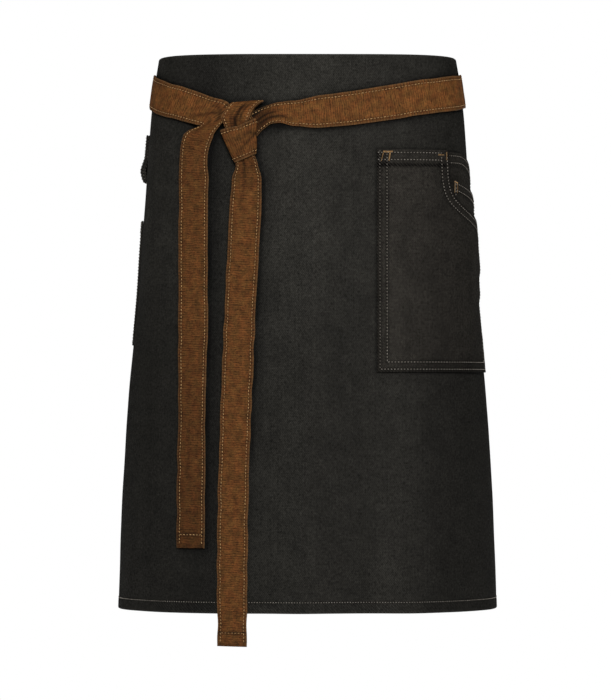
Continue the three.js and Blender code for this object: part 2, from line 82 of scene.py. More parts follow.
# Driving sizes of the pockets and the loop
POCKET_LEFT = 62 * MM
POCKET_WIDTH = 138 * MM
POCKET_TOP = TOP - 86 * MM
POCKET_HEIGHT = 199 * MM
POCKET_WALL = 1.2 * MM
POCKET_ROOM = 3.2 * MM
POCKET_RIGHT = POCKET_LEFT + POCKET_WIDTH
POCKET_BOTTOM = POCKET_TOP - POCKET_HEIGHT
SCOOP_LEFT = POCKET_LEFT + 66 * MM
SCOOP_DROP = 68 * MM
FACING_HEIGHT = 110 * MM
FACING_BEHIND_POCKET = 18 * MM
COIN_FROM_SCOOP = 7 * MM
COIN_BELOW = 26 * MM
COIN_FALL = 15 * MM
COIN_HEIGHT = 62 * MM
COIN_SIDE_MARGIN = 6 * MM
SIDE_POCKET_FRONT = 226 * MM
SIDE_POCKET_WIDTH = 92 * MM
SIDE_POCKET_TOP = TOP - 145 * MM
SIDE_POCKET_HEIGHT = 115 * MM
LOOP_FRONT = 222 * MM
LOOP_WIDTH = 20 * MM
LOOP_TOP = TOP - 65.5 * MM
LOOP_LENGTH = 44 * MM
LOOP_THICKNESS = 1.9 * MM
LOOP_BULGE = 3.4 * MM

# How the panel widens from the waist to the hem: shares of its length and of the change
FLARE = rows(
    "down wider",
    (0, 0),
    (0.04, 0.09),
    (0.11, 0.2),
    (0.25, 0.33),
    (0.35, 0.43),
    (0.44, 0.52),
    (0.53, 0.65),
    (0.62, 0.76),
    (0.8, 0.91),
    (1, 1),
)

# Soft upright folds of the lower panel: shares of the half cloth and of the fold height
FOLDS = rows(
    "at wide high",
    (-0.86, 0.09, 0.9),
    (-0.46, 0.07, -0.6),
    (-0.22, 0.08, 0.5),
    (-0.02, 0.06, 1),
    (0.14, 0.07, -0.5),
    (0.27, 0.06, 0.8),
    (0.47, 0.08, -0.5),
    (0.84, 0.09, 0.9),
)
FOLDS_START = 0.3
FOLDS_FULL = 0.95


# Plain numbers and noise
NOISE_SIDE = 97


def mix(a, b, share):
    return a + (b - a) * share


def smooth_step(low, high, value):
    t = np.clip((value - low) / (high - low), 0, 1)
    return t * t * (3 - 2 * t)


def fade_out(low, high, value):
    """1 up to the low value, falling smoothly to 0 at the high one."""
    return 1 - smooth_step(low, high, value)


def bump_at(value, middle, width):
    return np.exp(-(((value - middle) / width) ** 2))


def column(table, name):
    return np.array([row[name] for row in table], float)


def from_table(table, key, name, value):
    """A smooth curve through the rows of a table, with flat ends."""
    x = column(table, key)
    y = column(table, name)
    last = len(x) - 1
    value = np.clip(value, x[0], x[last])
    i = np.clip(np.searchsorted(x, value) - 1, 0, last - 1)
    before = np.maximum(i - 1, 0)
    after = np.minimum(i + 2, last)
    span = x[i + 1] - x[i]
    t = (value - x[i]) / span
    start_slope = span * (y[i + 1] - y[before]) / (x[i + 1] - x[before])
    end_slope = span * (y[after] - y[i]) / (x[after] - x[i])
    return (
        (2 * t**3 - 3 * t**2 + 1) * y[i]
        + (t**3 - 2 * t**2 + t) * start_slope
        + (3 * t**2 - 2 * t**3) * y[i + 1]
        + (t**3 - t**2) * end_slope
    )


def soft_noise(a, b, cell_a, cell_b, seed):
    """Smooth seeded noise from -1 to 1 over a plane, with cells of the given sizes."""
    side = NOISE_SIDE
    grid = np.random.RandomState(seed).uniform(-1, 1, (side, side))
    p = np.asarray(a) / cell_a
    q = np.asarray(b) / cell_b
    i = np.floor(p).astype(int)
    j = np.floor(q).astype(int)
    s = smooth_step(0, 1, p - i)
    t = smooth_step(0, 1, q - j)
    corner = [grid[(i + m) % side, (j + n) % side] for m in (0, 1) for n in (0, 1)]
    return mix(mix(corner[0], corner[1], t), mix(corner[2], corner[3], t), s)


# The waist form: level sections with their arc lengths, at heights in millimetres
LOWEST_LEVEL = -560
HIGHEST_LEVEL = 42
LEVEL_SPACING = 2
LEVEL_STEP = LEVEL_SPACING * MM
LEVELS = np.arange(LOWEST_LEVEL, HIGHEST_LEVEL, LEVEL_SPACING) * MM
ARC_STEPS = 240


def form_at(height):
    """Half width, half depth and squareness of the form at some heights."""
    wider = from_table(FLARE, "down", "wider", (TOP - height) / APRON_LENGTH)
    return (
        mix(WAIST_HALF_WIDTH, HEM_HALF_WIDTH, wider),
        mix(WAIST_HALF_DEPTH, HEM_HALF_DEPTH, wider),
        mix(WAIST_SQUARENESS, HEM_SQUARENESS, wider),
    )


def level_sections():
    half_width, half_depth, squareness = (v[:, None] for v in form_at(LEVELS))
    angle = np.linspace(0, math.pi, ARC_STEPS + 1)[None, :]
    s = np.abs(np.sin(angle) / half_width) ** squareness
    c = np.abs(np.cos(angle) / half_depth) ** squareness
    radius = (s + c) ** (-1 / squareness)
    x = radius * np.sin(angle)
    y = -radius * np.cos(angle)
    step = np.hypot(np.diff(x, axis=1), np.diff(y, axis=1))
    arc = np.concatenate([np.zeros((len(LEVELS), 1)), np.cumsum(step, axis=1)], axis=1)
    return x, y, arc


SECTION_X, SECTION_Y, SECTION_ARC = level_sections()
HALF_GIRTH_AT_LEVEL = SECTION_ARC[:, -1]
GIRTH_HALF = float(np.interp(0, LEVELS, HALF_GIRTH_AT_LEVEL))

# Faint creases that the knot pulls in the panel: start and end in cloth coordinates, in metres
CREASES = rows(
    "from_across from_height to_across to_height wide deep",
    (-0.052, -0.016, -0.030, 0.014, 0.0035, 0.9),
    (-0.042, -0.018, -0.010, 0.006, 0.004, 0.7),
    (-0.070, -0.012, -0.082, 0.012, 0.004, 0.5),
    (-0.045, -0.075, -0.020, -0.110, 0.006, 0.5),
    (-0.088, -0.075, -0.118, -0.120, 0.006, 0.5),
)
CREASE_DEPTH = 0.7 * MM
CREASE_RISES = (-0.15, 0.25)
CREASE_FALLS = (0.6, 1.1)

# Slow waves of the hanging cloth, in millimetres, with the seed of the noise of each
WAVES = rows("high across up seed", (0.5, 46, 120, 3), (0.22, 19, 34, 8))


def line_share(across, height, row):
    """Share along a crease and distance from it."""
    start = np.array([row["from_across"], row["from_height"]])
    run = np.array([row["to_across"], row["to_height"]]) - start
    length = np.hypot(*run)
    dx = across - start[0]
    dz = height - start[1]
    share = (dx * run[0] + dz * run[1]) / length**2
    return share, np.abs(dx * run[1] - dz * run[0]) / length


def crease_fade(along, falls):
    """How strong a crease is along its run: it rises at the start and falls off at the end."""
    return smooth_step(*CREASE_RISES, along) * fade_out(*falls, along)


def drape(across, height):
    """How far the cloth stands out from the plain form: folds, slow waves and creases."""
    down = (TOP - height) / APRON_LENGTH
    share = across / HALF_CLOTH
    strength = smooth_step(FOLDS_START, FOLDS_FULL, down) * FOLD_HEIGHT
    out = sum(strength * f["high"] * bump_at(share, f["at"], f["wide"]) for f in FOLDS)
    for wave in WAVES:
        noise = soft_noise(across, height, wave["across"] * MM, wave["up"] * MM, wave["seed"])
        out = out + wave["high"] * MM * noise
    for row in CREASES:
        along, far = line_share(across, height, row)
        fade = crease_fade(along, CREASE_FALLS)
        out = out - CREASE_DEPTH * row["deep"] * fade * bump_at(far, 0, row["wide"])
    return out


def place(across, height, out=0.0):
    """Points of space from cloth coordinates."""
    across, height, out = (np.array(v, float) for v in np.broadcast_arrays(across, height, out))
    level = np.clip((height - LEVELS[0]) / LEVEL_STEP, 0, len(LEVELS) - 1.001)
    low = np.floor(level).astype(int)
    share = level - low
    x = np.zeros_like(across)
    y = np.zeros_like(across)
    for i in np.unique(low):
        here = low == i
        for k, weight in ((i, 1 - share[here]), (i + 1, share[here])):
            whole = 2 * SECTION_ARC[k, -1]
            wrapped = across[here] - whole * np.round(across[here] / whole)
            distance = np.abs(wrapped)
            x[here] += weight * np.sign(wrapped) * np.interp(distance, SECTION_ARC[k], SECTION_X[k])
            y[here] += weight * np.interp(distance, SECTION_ARC[k], SECTION_Y[k])
    half_width, half_depth, squareness = form_at(height)
    nx = np.sign(x) * np.abs(x / half_width) ** (squareness - 1) / half_width
    ny = np.sign(y) * np.abs(y / half_depth) ** (squareness - 1) / half_depth
    length = np.hypot(nx, ny)
    girth = 2 * np.interp(height, LEVELS, HALF_GIRTH_AT_LEVEL)
    reach = out + drape(across - girth * np.round(across / girth), height)
    return np.stack([x + nx / length * reach, y + ny / length * reach, height], axis=-1)


# Helpers for objects and meshes
SHARP_EDGE = math.radians(60)


def deselect_all():
    bpy.ops.object.select_all(action="DESELECT")


def make_active(piece):
    deselect_all()
    piece.select_set(True)
    bpy.context.view_layer.objects.active = piece


def apply_and_smooth(piece):
    make_active(piece)
    for modifier in list(piece.modifiers):
        bpy.ops.object.modifier_apply(modifier=modifier.name)
    bpy.ops.object.shade_smooth()


# What each point of the cloth tells its material, unless a piece says otherwise: wear, crease and
# pucker go from nothing up, and the painted light and shade multiplies the colour. The crease share is
# painted shade at creases, seams and under hems, and the pucker share paints light and shade on puckers
PLAIN_CLOTH = {"wear": 0.0, "crease": 0.0, "pucker": 0.0, "dye": 1.0}


def lay_uv(mesh, layer, flat):
    """Writes a flat place for each corner of a mesh from those of its vertices, by the vertex's number."""
    corner = np.empty(len(mesh.loops), np.int32)
    mesh.loops.foreach_get("vertex_index", corner)
    layer.data.foreach_set("uv", flat[corner % len(flat)].reshape(-1).astype(np.float32))


# Rubbed rims: their strength, and how far in from the edge they begin to fade and are gone
PANEL_RIM = (0.6, 0.3 * MM, 1.6 * MM)
PATCH_RIM = (0.25, 0.2 * MM, 1.5 * MM)
TIE_RIM = (1, 0.3 * MM, 1.3 * MM)


def rubbed(rim, edge):
    strength, start, gone = rim
    return strength * fade_out(start, gone, edge)


def add_object(name, data, spot=(0, 0, 0), turned=(0, 0, 0)):
    made = bpy.data.objects.new(name, data)
    made.location = spot
    made.rotation_euler = turned
    bpy.context.scene.collection.objects.link(made)
    return made


def laid_grid(name, points, flat, **shares):
    """A flat grid laid in place. Points are rows by columns by three, flat holds the UV in metres."""
    row_count, column_count = points.shape[:2]
    deselect_all()
    bpy.ops.mesh.primitive_grid_add(
        x_subdivisions=column_count - 1, y_subdivisions=row_count - 1, size=1, calc_uvs=True
    )
    piece = bpy.context.active_object
    piece.name = name
    piece.data.name = name
    mesh = piece.data
    mesh.vertices.foreach_set("co", points.reshape(-1).astype(np.float32))
    mesh.uv_layers.active.name = "cloth"
    lay_uv(mesh, mesh.uv_layers.active, flat.reshape(-1, 2))
    for key, plain in PLAIN_CLOTH.items():
        attribute = mesh.attributes.new(key, "FLOAT", "POINT")
        values = np.broadcast_to(shares.get(key, plain), points.shape[:2])
        attribute.data.foreach_set("value", values.reshape(-1).astype(np.float32))
    mesh.update()
    return piece


def thicken(piece, thickness, offset=-1.0, edge=0.0, reverse_slot=0):
    """Gives a laid sheet its thickness and rounds its cut edges. The reverse can have its own material."""
    solid = piece.modifiers.new("thickness", "SOLIDIFY")
    solid.thickness = thickness
    solid.offset = offset
    solid.material_offset = reverse_slot
    if edge:
        rounding = piece.modifiers.new("edges", "BEVEL")
        rounding.width = edge
        rounding.segments = 2
        rounding.limit_method = "ANGLE"
        rounding.angle_limit = SHARP_EDGE
    apply_and_smooth(piece)


def enter_piece(piece, replaced=()):
    """Enters a piece on the root body, and hides the nodes it replaces."""
    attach(piece, "root")
    if replaced:
        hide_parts(*replaced)


def finish_piece(piece, material, replaced=()):
    piece.data.materials.clear()
    piece.data.materials.append(material)
    enter_piece(piece, replaced)


# Threads: one stitch is modelled, and its copies lie along a seam
THREAD_RADIUS = 0.4 * MM
SUNK_THREAD = 0.23 * MM
THREAD_LIFT = 0.45
STITCH_BLUNTNESS = 0.6
STITCH_SHARE = 0.48
STITCH_SAG = 0.16 * MM
STITCH_TURN = math.radians(7)
TACK_LIFT = 0.7
TACK_TURN = 0.12


def model_stitch():
    """One stitch, a slim capsule a unit long along X with a unit radius: its vertices and faces."""
    deselect_all()
    bpy.ops.mesh.primitive_uv_sphere_add(segments=6, ring_count=4, radius=1)
    seed = bpy.context.active_object
    bpy.ops.object.mode_set(mode="EDIT")
    bpy.ops.mesh.select_all(action="SELECT")
    bpy.ops.transform.rotate(value=math.pi / 2, orient_axis="Y", center_override=(0, 0, 0))
    bpy.ops.object.mode_set(mode="OBJECT")
    points = np.array([v.co for v in seed.data.vertices])
    faces = [list(face.vertices) for face in seed.data.polygons]
    bpy.data.objects.remove(seed)
    points[:, 0] = 0.5 * np.sign(points[:, 0]) * np.abs(points[:, 0]) ** STITCH_BLUNTNESS
    return points, faces


STITCH_POINTS, STITCH_FACES = model_stitch()


def unit(vectors):
    return vectors / np.linalg.norm(vectors, axis=-1, keepdims=True)


def arc_of(line):
    """The distance along a line at each of its points."""
    step = np.linalg.norm(np.diff(line, axis=0), axis=1)
    return np.concatenate([[0], np.cumsum(step)])


def at_distances(values, arc, distances):
    return np.stack([np.interp(distances, arc, part) for part in values.T], axis=-1)


def along_path(path, normals, distances):
    """Points and normals at some distances along a path."""
    arc = arc_of(path)
    return at_distances(path, arc, distances), unit(at_distances(normals, arc, distances))


def middles(path, pitch, least):
    """The length that each stitch has on a path, and the distances to the middles of all stitches."""
    length = arc_of(path)[-1]
    count = max(least, int(round(length / pitch)))
    return length / count, (np.arange(count) + 0.5) * length / count


def stitched_row(path, normals, pitch, share=STITCH_SHARE, radius=THREAD_RADIUS, seed=1):
    """The ends, centre and facing of each stitch of a row."""
    each, middle = middles(path, pitch, 1)
    start, _ = along_path(path, normals, middle - 0.5 * share * each)
    end, _ = along_path(path, normals, middle + 0.5 * share * each)
    centre, facing = along_path(path, normals, middle)
    turn = np.random.RandomState(seed).uniform(-STITCH_TURN, STITCH_TURN, len(middle)) + STITCH_TURN / 2
    return {"start": start, "end": end, "centre": centre, "facing": facing, "radius": radius, "turn": turn}


def crossing_row(path, normals, width, pitch, radius):
    """The dense stitches of a bar tack, which lie across its path."""
    _, middle = middles(path, pitch, 2)
    centre, facing = along_path(path, normals, middle)
    across = unit(np.cross(facing, unit(np.gradient(centre, axis=0)))) * width / 2
    centre = centre + facing * radius * TACK_LIFT
    start, end = centre - across, centre + across
    turn = np.where(np.arange(len(middle)) % 2, TACK_TURN, -TACK_TURN)
    return {"start": start, "end": end, "centre": centre, "facing": facing, "radius": radius, "turn": turn}


def placed_stitches(row):
    """The points of all stitches of a row: turned a little, raised by a share of the thread and sagging."""
    run = row["end"] - row["start"]
    length = np.linalg.norm(run, axis=1)[:, None, None]
    tangent = unit(run)
    side = unit(np.cross(row["facing"], tangent))
    turn = row["turn"][:, None]
    turned = (tangent * np.cos(turn) + side * np.sin(turn))[:, None, :]
    side = (side * np.cos(turn) - tangent * np.sin(turn))[:, None, :]
    up = row["facing"][:, None, :]
    x, y, z = (STITCH_POINTS[None, :, k : k + 1] for k in range(3))
    points = row["centre"][:, None, :] + turned * x * length
    points = points + side * y * row["radius"] + up * z * row["radius"]
    points = points + up * (row["radius"] * THREAD_LIFT - STITCH_SAG * (2 * x) ** 2)
    return points.reshape(-1, 3)


def thread_piece(name, sewn_rows, material):
    """All the stitches of some rows, joined into one mesh."""
    points = np.concatenate([placed_stitches(row) for row in sewn_rows])
    firsts = range(0, len(points), len(STITCH_POINTS))
    mesh = bpy.data.meshes.new(name)
    faces = [[k + first for k in face] for first in firsts for face in STITCH_FACES]
    mesh.from_pydata(points.tolist(), [], faces)
    around = np.arctan2(STITCH_POINTS[:, 2], STITCH_POINTS[:, 1])
    lay_uv(mesh, mesh.uv_layers.new(name="cloth"), np.stack([STITCH_POINTS[:, 0], around], axis=-1))
    piece = add_object(name, mesh)
    apply_and_smooth(piece)
    finish_piece(piece, material)


def cloth_path(points, out_of, spacing=1 * MM):
    """A path and its normals in space from a polyline in cloth coordinates."""
    points = np.array(points, float)
    arc = arc_of(points)
    fine = np.linspace(0, arc[-1], max(2, int(arc[-1] / spacing) + 1))
    across, height = at_distances(points, arc, fine).T
    out = out_of(across, height)
    path = place(across, height, out)
    return path, unit(place(across, height, out + 1 * MM) - path)


# The panel: one sheet with its hems turned to the inside, sides first. Its grid is finer at the hems,
# at the knot and at the pocket's left edge
FOLD_RADIUS = HEM_LAYER / 2
FOLD_LENGTH = math.pi * FOLD_RADIUS
FOLD_INSET = FOLD_RADIUS + PANEL_CLOTH / 2
PANEL_STEP = 3.4 * MM
FINE_STEP = 1.5 * MM
FINE_HEM = 14 * MM
FOLD_LINES = 6
TURNED_LINES = 5
CORNER_EASE = (5 * MM, 1 * MM)
HEM_RELIEF = 0.3 * MM
HEM_SOFTNESS = 1 * MM
# Painted shade along the hems' rows of stitches, and its width
HEM_DARK = 0.4
HEM_DARK_WIDTH = 1.3 * MM
HEM_PUCKERS = (HEM_WIDTH - 1 * MM, HEM_WIDTH + 1.5 * MM)
SEAM_GROOVE = 0.3 * MM
SEAM_GROOVE_WIDTH = 1.0 * MM
FINE_ACROSS = ((-118 * MM, -28 * MM), (55 * MM, 65 * MM))
FINE_UP = ((TOP - 92 * MM, TOP - 18 * MM),)


def folded(value, low, high):
    """Where a flat coordinate comes to lie when the cloth is folded at two edges, and its turn, 0 to 1."""
    past = np.maximum(value - high, low - value)
    edge = np.where(value > (low + high) / 2, high, low)
    outward = np.where(value > (low + high) / 2, 1, -1)
    angle = np.clip(past, 0, FOLD_LENGTH) / FOLD_RADIUS
    beyond = np.maximum(past - FOLD_LENGTH, 0)
    turned = edge + outward * (FOLD_RADIUS * np.sin(angle) - beyond)
    return np.where(past > 0, turned, value), (1 - np.cos(angle)) / 2


def stepped(low, high, step):
    return np.linspace(low, high, int(round((high - low) / step)) + 1)[:-1]


def flat_stops(low, high, fine_bands):
    """Flat coordinates of the grid lines between the raw edges, finer at the hems and in some bands."""
    fold = np.linspace(0, FOLD_LENGTH, FOLD_LINES)
    turned = np.linspace(FOLD_LENGTH, FOLD_LENGTH + HEM_WIDTH, TURNED_LINES)[1:]
    hem = np.arange(FINE_STEP, FINE_HEM, FINE_STEP)
    beyond = np.concatenate([fold, turned])
    reached = low + hem[-1]
    inner = []
    for start, end in fine_bands:
        inner += [stepped(reached, start, PANEL_STEP), stepped(start, end, FINE_STEP)]
        reached = end
    inner.append(stepped(reached, high - hem[-1], PANEL_STEP))
    return np.concatenate(
        [(low - beyond)[::-1], low + hem[:-1], *inner, (high - hem)[::-1], high + beyond]
    )


def hemmed_edge(across, height):
    """Distance to the nearest edge that shows a sewn hem: the sides and the bottom."""
    return np.minimum(HALF_CLOTH - np.abs(across), height - BOTTOM)


def raised(distance, hem, height):
    """How far the turned cloth of a hem raises it, up to its seam."""
    return height * fade_out(hem - HEM_SOFTNESS, hem + HEM_SOFTNESS, distance)


def panel_relief(across, height):
    """The hems' ridges and the grooves at their seams, as they show on the panel's face."""
    edge = hemmed_edge(across, height)
    ridge = raised(edge, HEM_WIDTH, HEM_RELIEF)
    return ridge - HEM_RELIEF - SEAM_GROOVE * bump_at(edge, HEM_WIDTH, SEAM_GROOVE_WIDTH)


# Painted light and shade on the cloth, as shares of its colour, at distances across from the front middle
# in millimetres, high up and low down
PAINTED_LIGHT_ACROSS = rows(
    "across upper lower",
    (-165, 1.15, 0.75),
    (-115, 0.74, 0.55),
    (-85, 0.53, 0.48),
    (-62, 0.8, 0.7),
    (-35, 1, 0.82),
    (0, 1.14, 0.83),
    (40, 0.95, 0.78),
    (75, 0.95, 0.91),
    (95, 0.85, 0.8),
    (120, 0.69, 0.59),
    (165, 0.78, 0.61),
)
LOWER_FROM = (TOP - 160 * MM, TOP - 290 * MM)
SHADE_FADES = (TOP - 400 * MM, TOP - 330 * MM)

# The soft shade that a tie leaves on the cloth beside it, mostly to its right and below
TIE_SHADES = rows(
    "strength right down reach",
    (0.28, 5, 0, 9),
    (0.72, 1.5, 0.8, 3.6),
)

# Painted shade in the dark hollows beside the knot, across and below the top edge in millimetres
HOLLOWS = rows(
    "across below wide tall deep",
    (-26, 65, 15, 5, 0.75),
    (-43, 49, 9, 7, 0.8),
)
# Painted shadow on the panel along the front pocket's edges, and how far out it reaches
POCKET_SHADE = 0.45
POCKET_SHADE_REACH = 3.5 * MM
FAR_AWAY = 1.0


def painted_light_across(across, height):
    """Painted light and shade: darkest under the tails on the left, palest at the front's upper middle."""
    upper = from_table(PAINTED_LIGHT_ACROSS, "across", "upper", across / MM)
    lower = from_table(PAINTED_LIGHT_ACROSS, "across", "lower", across / MM)
    return mix(upper, lower, smooth_step(-LOWER_FROM[0], -LOWER_FROM[1], -height))


def shade_of_tie(ribbon, low_share, across, height):
    """How much light a tie leaves on the cloth. Low down, only a share of its shade is left."""
    centre, width, _, half = ribbon.at(ribbon.stations[::2])
    share = smooth_step(FRONT_FLAT, SIDE_START, np.abs(centre[:, 0]))
    girth = np.interp(centre[:, 1], LEVELS, HALF_GIRTH_AT_LEVEL)
    along = centre[:, 0] * mix(1, girth / GIRTH_HALF, share)
    strength = mix(low_share, 1, smooth_step(*SHADE_FADES, height))
    light = np.ones(np.shape(across))
    for shade in TIE_SHADES:
        away = np.full(np.shape(across), FAR_AWAY)
        for x, z, side, reach in zip(along, centre[:, 1], width, half):
            right = across - x - shade["right"] * MM
            over = height - z + shade["down"] * MM
            inside = np.clip(right * side[0] + over * side[1], -reach, reach)
            away = np.minimum(away, np.hypot(right - inside * side[0], over - inside * side[1]))
        near = fade_out(0, shade["reach"] * MM, away)
        light = light * (1 - strength * shade["strength"] * near)
    return light


# Painted shade: dark hollows beside the knot, and the front pocket's shadow along its edges
def shade_by_knot_and_pocket(across, height):
    light = np.ones(np.shape(across))
    for spot in HOLLOWS:
        aside = (across - spot["across"] * MM) / (spot["wide"] * MM)
        under = (TOP - height - spot["below"] * MM) / (spot["tall"] * MM)
        light = light * (1 - spot["deep"] * np.exp(-(aside**2) - under**2))
    top = np.where(across < SCOOP_LEFT, POCKET_TOP, facing_top(across))
    outside = -inset_in(POCKET_BOX, across, height, top)
    return light * (1 - POCKET_SHADE * fade_out(0, POCKET_SHADE_REACH, outside))


def make_panel(face, reverse, shading_ties):
    """The main sheet. The ties that shade it come with the share of their shade that is left low down."""
    side = HALF_CLOTH - FOLD_INSET
    low = BOTTOM + FOLD_INSET
    high = TOP - FOLD_INSET
    flat_across, flat_height = np.meshgrid(
        flat_stops(-side, side, FINE_ACROSS), flat_stops(low, high, FINE_UP)
    )
    across, side_turn = folded(flat_across, -side, side)
    height, end_turn = folded(flat_height, low, high)
    over = smooth_step(*(HALF_CLOTH - HEM_WIDTH - ease for ease in CORNER_EASE), np.abs(across))
    layer = mix(side_turn, 1 + over * (2 - side_turn), end_turn)
    out = panel_relief(across, height) * (1 - end_turn) * (1 - side_turn)
    out = out - PANEL_CLOTH / 2 - layer * HEM_LAYER - (HEM_RELIEF * layer / (1 + layer))
    edge = hemmed_edge(across, height)
    rim = np.minimum(edge, TOP - height)
    # Painted light and shade: paler and darker across the cloth, dark hollows by the knot, the pocket's
    # shadow and the ties' shade
    dye = painted_light_across(across, height) * shade_by_knot_and_pocket(across, height)
    for ribbon, low_share in shading_ties:
        dye = dye * shade_of_tie(ribbon, low_share, across, height)
    panel = laid_grid(
        "apron_panel_cloth",
        place(across, height, out),
        np.stack([flat_across, flat_height], axis=-1),
        wear=rubbed(PANEL_RIM, rim),
        # Painted shade along the hems' seams
        crease=HEM_DARK * bump_at(edge, HEM_WIDTH, HEM_DARK_WIDTH),
        pucker=fade_out(*HEM_PUCKERS, edge),
        dye=dye,
    )
    panel.data.materials.append(face)
    panel.data.materials.append(reverse)
    thicken(panel, PANEL_CLOTH, offset=0, reverse_slot=1)
    enter_piece(panel, ["apron_panel"])


# Patches: the pockets, the coin pocket and the facing
PATCH_STEP = 1.6 * MM
FACING_OUT = SEAT_GAP + POCKET_WALL
COIN_OUT = FACING_OUT + SEAT_GAP + POCKET_WALL
LAYER_MARGIN = 17 * MM
LAYER_EASE = 10 * MM
SEAM_MARGIN = 9 * MM
LEAST_ROWS = 12
ROOM_FULLNESS = 0.6
POCKET_EDGE = 0.45 * MM

# The scooped corner of the front pocket: shares of the scoop's width and of its drop
SCOOP = rows(
    "along fall",
    (0, 0),
    (0.005, 0.18),
    (0.015, 0.35),
    (0.045, 0.51),
    (0.085, 0.59),
    (0.165, 0.665),
    (0.29, 0.745),
    (0.47, 0.825),
    (0.76, 0.93),
    (1, 1.06),
)


def box_of(left, right, top, height):
    """The outline of a patch in cloth coordinates."""
    return {"left": left, "right": right, "top": top, "bottom": top - height, "height": height}


POCKET_BOX = box_of(POCKET_LEFT, POCKET_RIGHT, POCKET_TOP, POCKET_HEIGHT)
FACING_BOX = box_of(SCOOP_LEFT - FACING_BEHIND_POCKET, POCKET_RIGHT, POCKET_TOP, FACING_HEIGHT)
COIN_BOX = box_of(
    SCOOP_LEFT + COIN_FROM_SCOOP,
    POCKET_RIGHT - COIN_SIDE_MARGIN,
    POCKET_TOP - COIN_BELOW,
    COIN_HEIGHT,
)
SIDE_BOX = box_of(
    -SIDE_POCKET_FRONT - SIDE_POCKET_WIDTH,
    -SIDE_POCKET_FRONT,
    SIDE_POCKET_TOP,
    SIDE_POCKET_HEIGHT,
)


def inset_in(box, across, height, top=None):
    """Distance to the nearest edge of a patch, negative outside it. Its top edge can be a given line."""
    top = box["top"] if top is None else top
    side = np.minimum(across - box["left"], box["right"] - across)
    return np.minimum(side, np.minimum(height - box["bottom"], top - height))


def lifted_over(box, across, height):
    """How far a patch lifts the cloth that passes over it: 1 over the patch, 0 well beside it."""
    return fade_out(LAYER_MARGIN, LAYER_MARGIN + LAYER_EASE, -inset_in(box, across, height))


def pocket_room(share_across, share_up):
    """How far a pocket bulges: not at its seams, and most at the middle of its mouth."""
    inside = np.sin(math.pi * np.clip(share_across, 0, 1)) * np.sin(math.pi / 2 * np.clip(share_up, 0, 1))
    return np.clip(inside, 0, 1) ** ROOM_FULLNESS


def pocket_top(across):
    """The front pocket's top edge, with the scoop."""
    along = (across - SCOOP_LEFT) / (POCKET_RIGHT - SCOOP_LEFT)
    fall = from_table(SCOOP, "along", "fall", along)
    return np.where(along <= 0, POCKET_TOP, POCKET_TOP - SCOOP_DROP * fall)


def pocket_under(across, height):
    """How far the front pocket's inner face stands out, over its layers or with its bulge."""
    layers = SEAT_GAP + FACING_OUT * lifted_over(FACING_BOX, across, height)
    layers = layers + (COIN_OUT - FACING_OUT) * lifted_over(COIN_BOX, across, height)
    share_across = (across - POCKET_LEFT - SEAM_MARGIN) / (POCKET_WIDTH - 2 * SEAM_MARGIN)
    top = pocket_top(across)
    share_up = (height - POCKET_BOTTOM - SEAM_MARGIN) / (top - POCKET_BOTTOM - SEAM_MARGIN)
    room = pocket_room(share_across, share_up)
    return np.maximum(layers, mix(layers, SEAT_GAP + POCKET_ROOM, room))


# Seams of the patches: how far the rows of stitches lie from the edge, and how wide the hems are
POCKET_ROWS = (2.6 * MM, 9.0 * MM)
SCOOP_ROWS = (2.6 * MM, 8.2 * MM)
FACING_ROWS = (3.1 * MM, 9.4 * MM)
COIN_ROWS = (2.6 * MM, 8.6 * MM)
SIDE_ROW = 2.2 * MM
POCKET_HEM = 11.5 * MM
POCKET_SIDE_HEM = 11 * MM
SCOOP_HEM = 10.2 * MM
FACING_HEM = 12 * MM
COIN_HEM = 10 * MM
SIDE_POCKET_HEM = 10 * MM

# How far a hem stands out, how deep and wide its rows of stitches are sunk, how dark the painted shade
# at them is in the smaller patches, and the puckers of the seams
POCKET_HEM_OUT = 0.55 * MM
PATCH_HEM_OUT = 0.4 * MM
POCKET_GROOVES = (0.2 * MM, 0.25 * MM)
PATCH_GROOVES = (0.18 * MM, 0.22 * MM)
GROOVE_WIDTHS = (0.8 * MM, 0.9 * MM)
SEAM_PUCKER = 0.12 * MM
ROW_DARK = 0.6
ROW_DARK_WIDTH = 1.6 * MM
PUCKER_CELL = 3.6 * MM
PUCKER_SEED = 21
PUCKER_FADES = (8 * MM, 14 * MM)
SEAM_MARKS_REACH = 10.5 * MM

# The front pocket's lines of painted shade, in millimetres in from its edge: how wide they are, and how
# dark at the mouth and away from it
POCKET_LINES = rows(
    "at wide at_mouth away",
    (0, 1, 0, 0.8),
    (2.6, 2.3, 0.385, 0.7),
    (9, 2.1, 0.4125, 0.75),
)

# Its darkest line of painted shade lies under the hem of the mouth. Its upper left corner has painted shade
# too
UNDER_HEM = 2.2 * MM
UNDER_HEM_WIDTH = 1.7 * MM
UNDER_HEM_DARK = 1.3
CORNER_DARK = 0.6
CORNER_DARK_AT = (7 * MM, 6 * MM)
CORNER_DARK_WIDTH = 6 * MM
DARKEST = 1.25
MOUTH_SEAM_ENDS = SCOOP_LEFT - 7 * MM
MOUTH_DARK_ENDS = SCOOP_LEFT - 3 * MM
MOUTH_LINES_FADE = 1 * MM

# How many points the scoop's line has on its steep start and after it, and those of the other lines
STEEP_PART = 0.05
STEEP_POINTS = 14
GENTLE_POINTS = 47
SCOOP_POINTS = 90
SCOOP_COLUMNS = 66
MOUTH_COLUMNS = 42
FACING_COLUMNS = 58
COIN_COLUMNS = 44
SIDE_COLUMNS = 62


def scoop_line():
    """The scooped edge in cloth coordinates, from its start on the top edge to the right edge."""
    steep = np.linspace(0, STEEP_PART, STEEP_POINTS)[:-1]
    along = np.concatenate([steep, np.linspace(STEEP_PART, 1, GENTLE_POINTS)])
    across = mix(SCOOP_LEFT, POCKET_RIGHT, along)
    return np.stack([across, pocket_top(across)], axis=-1)


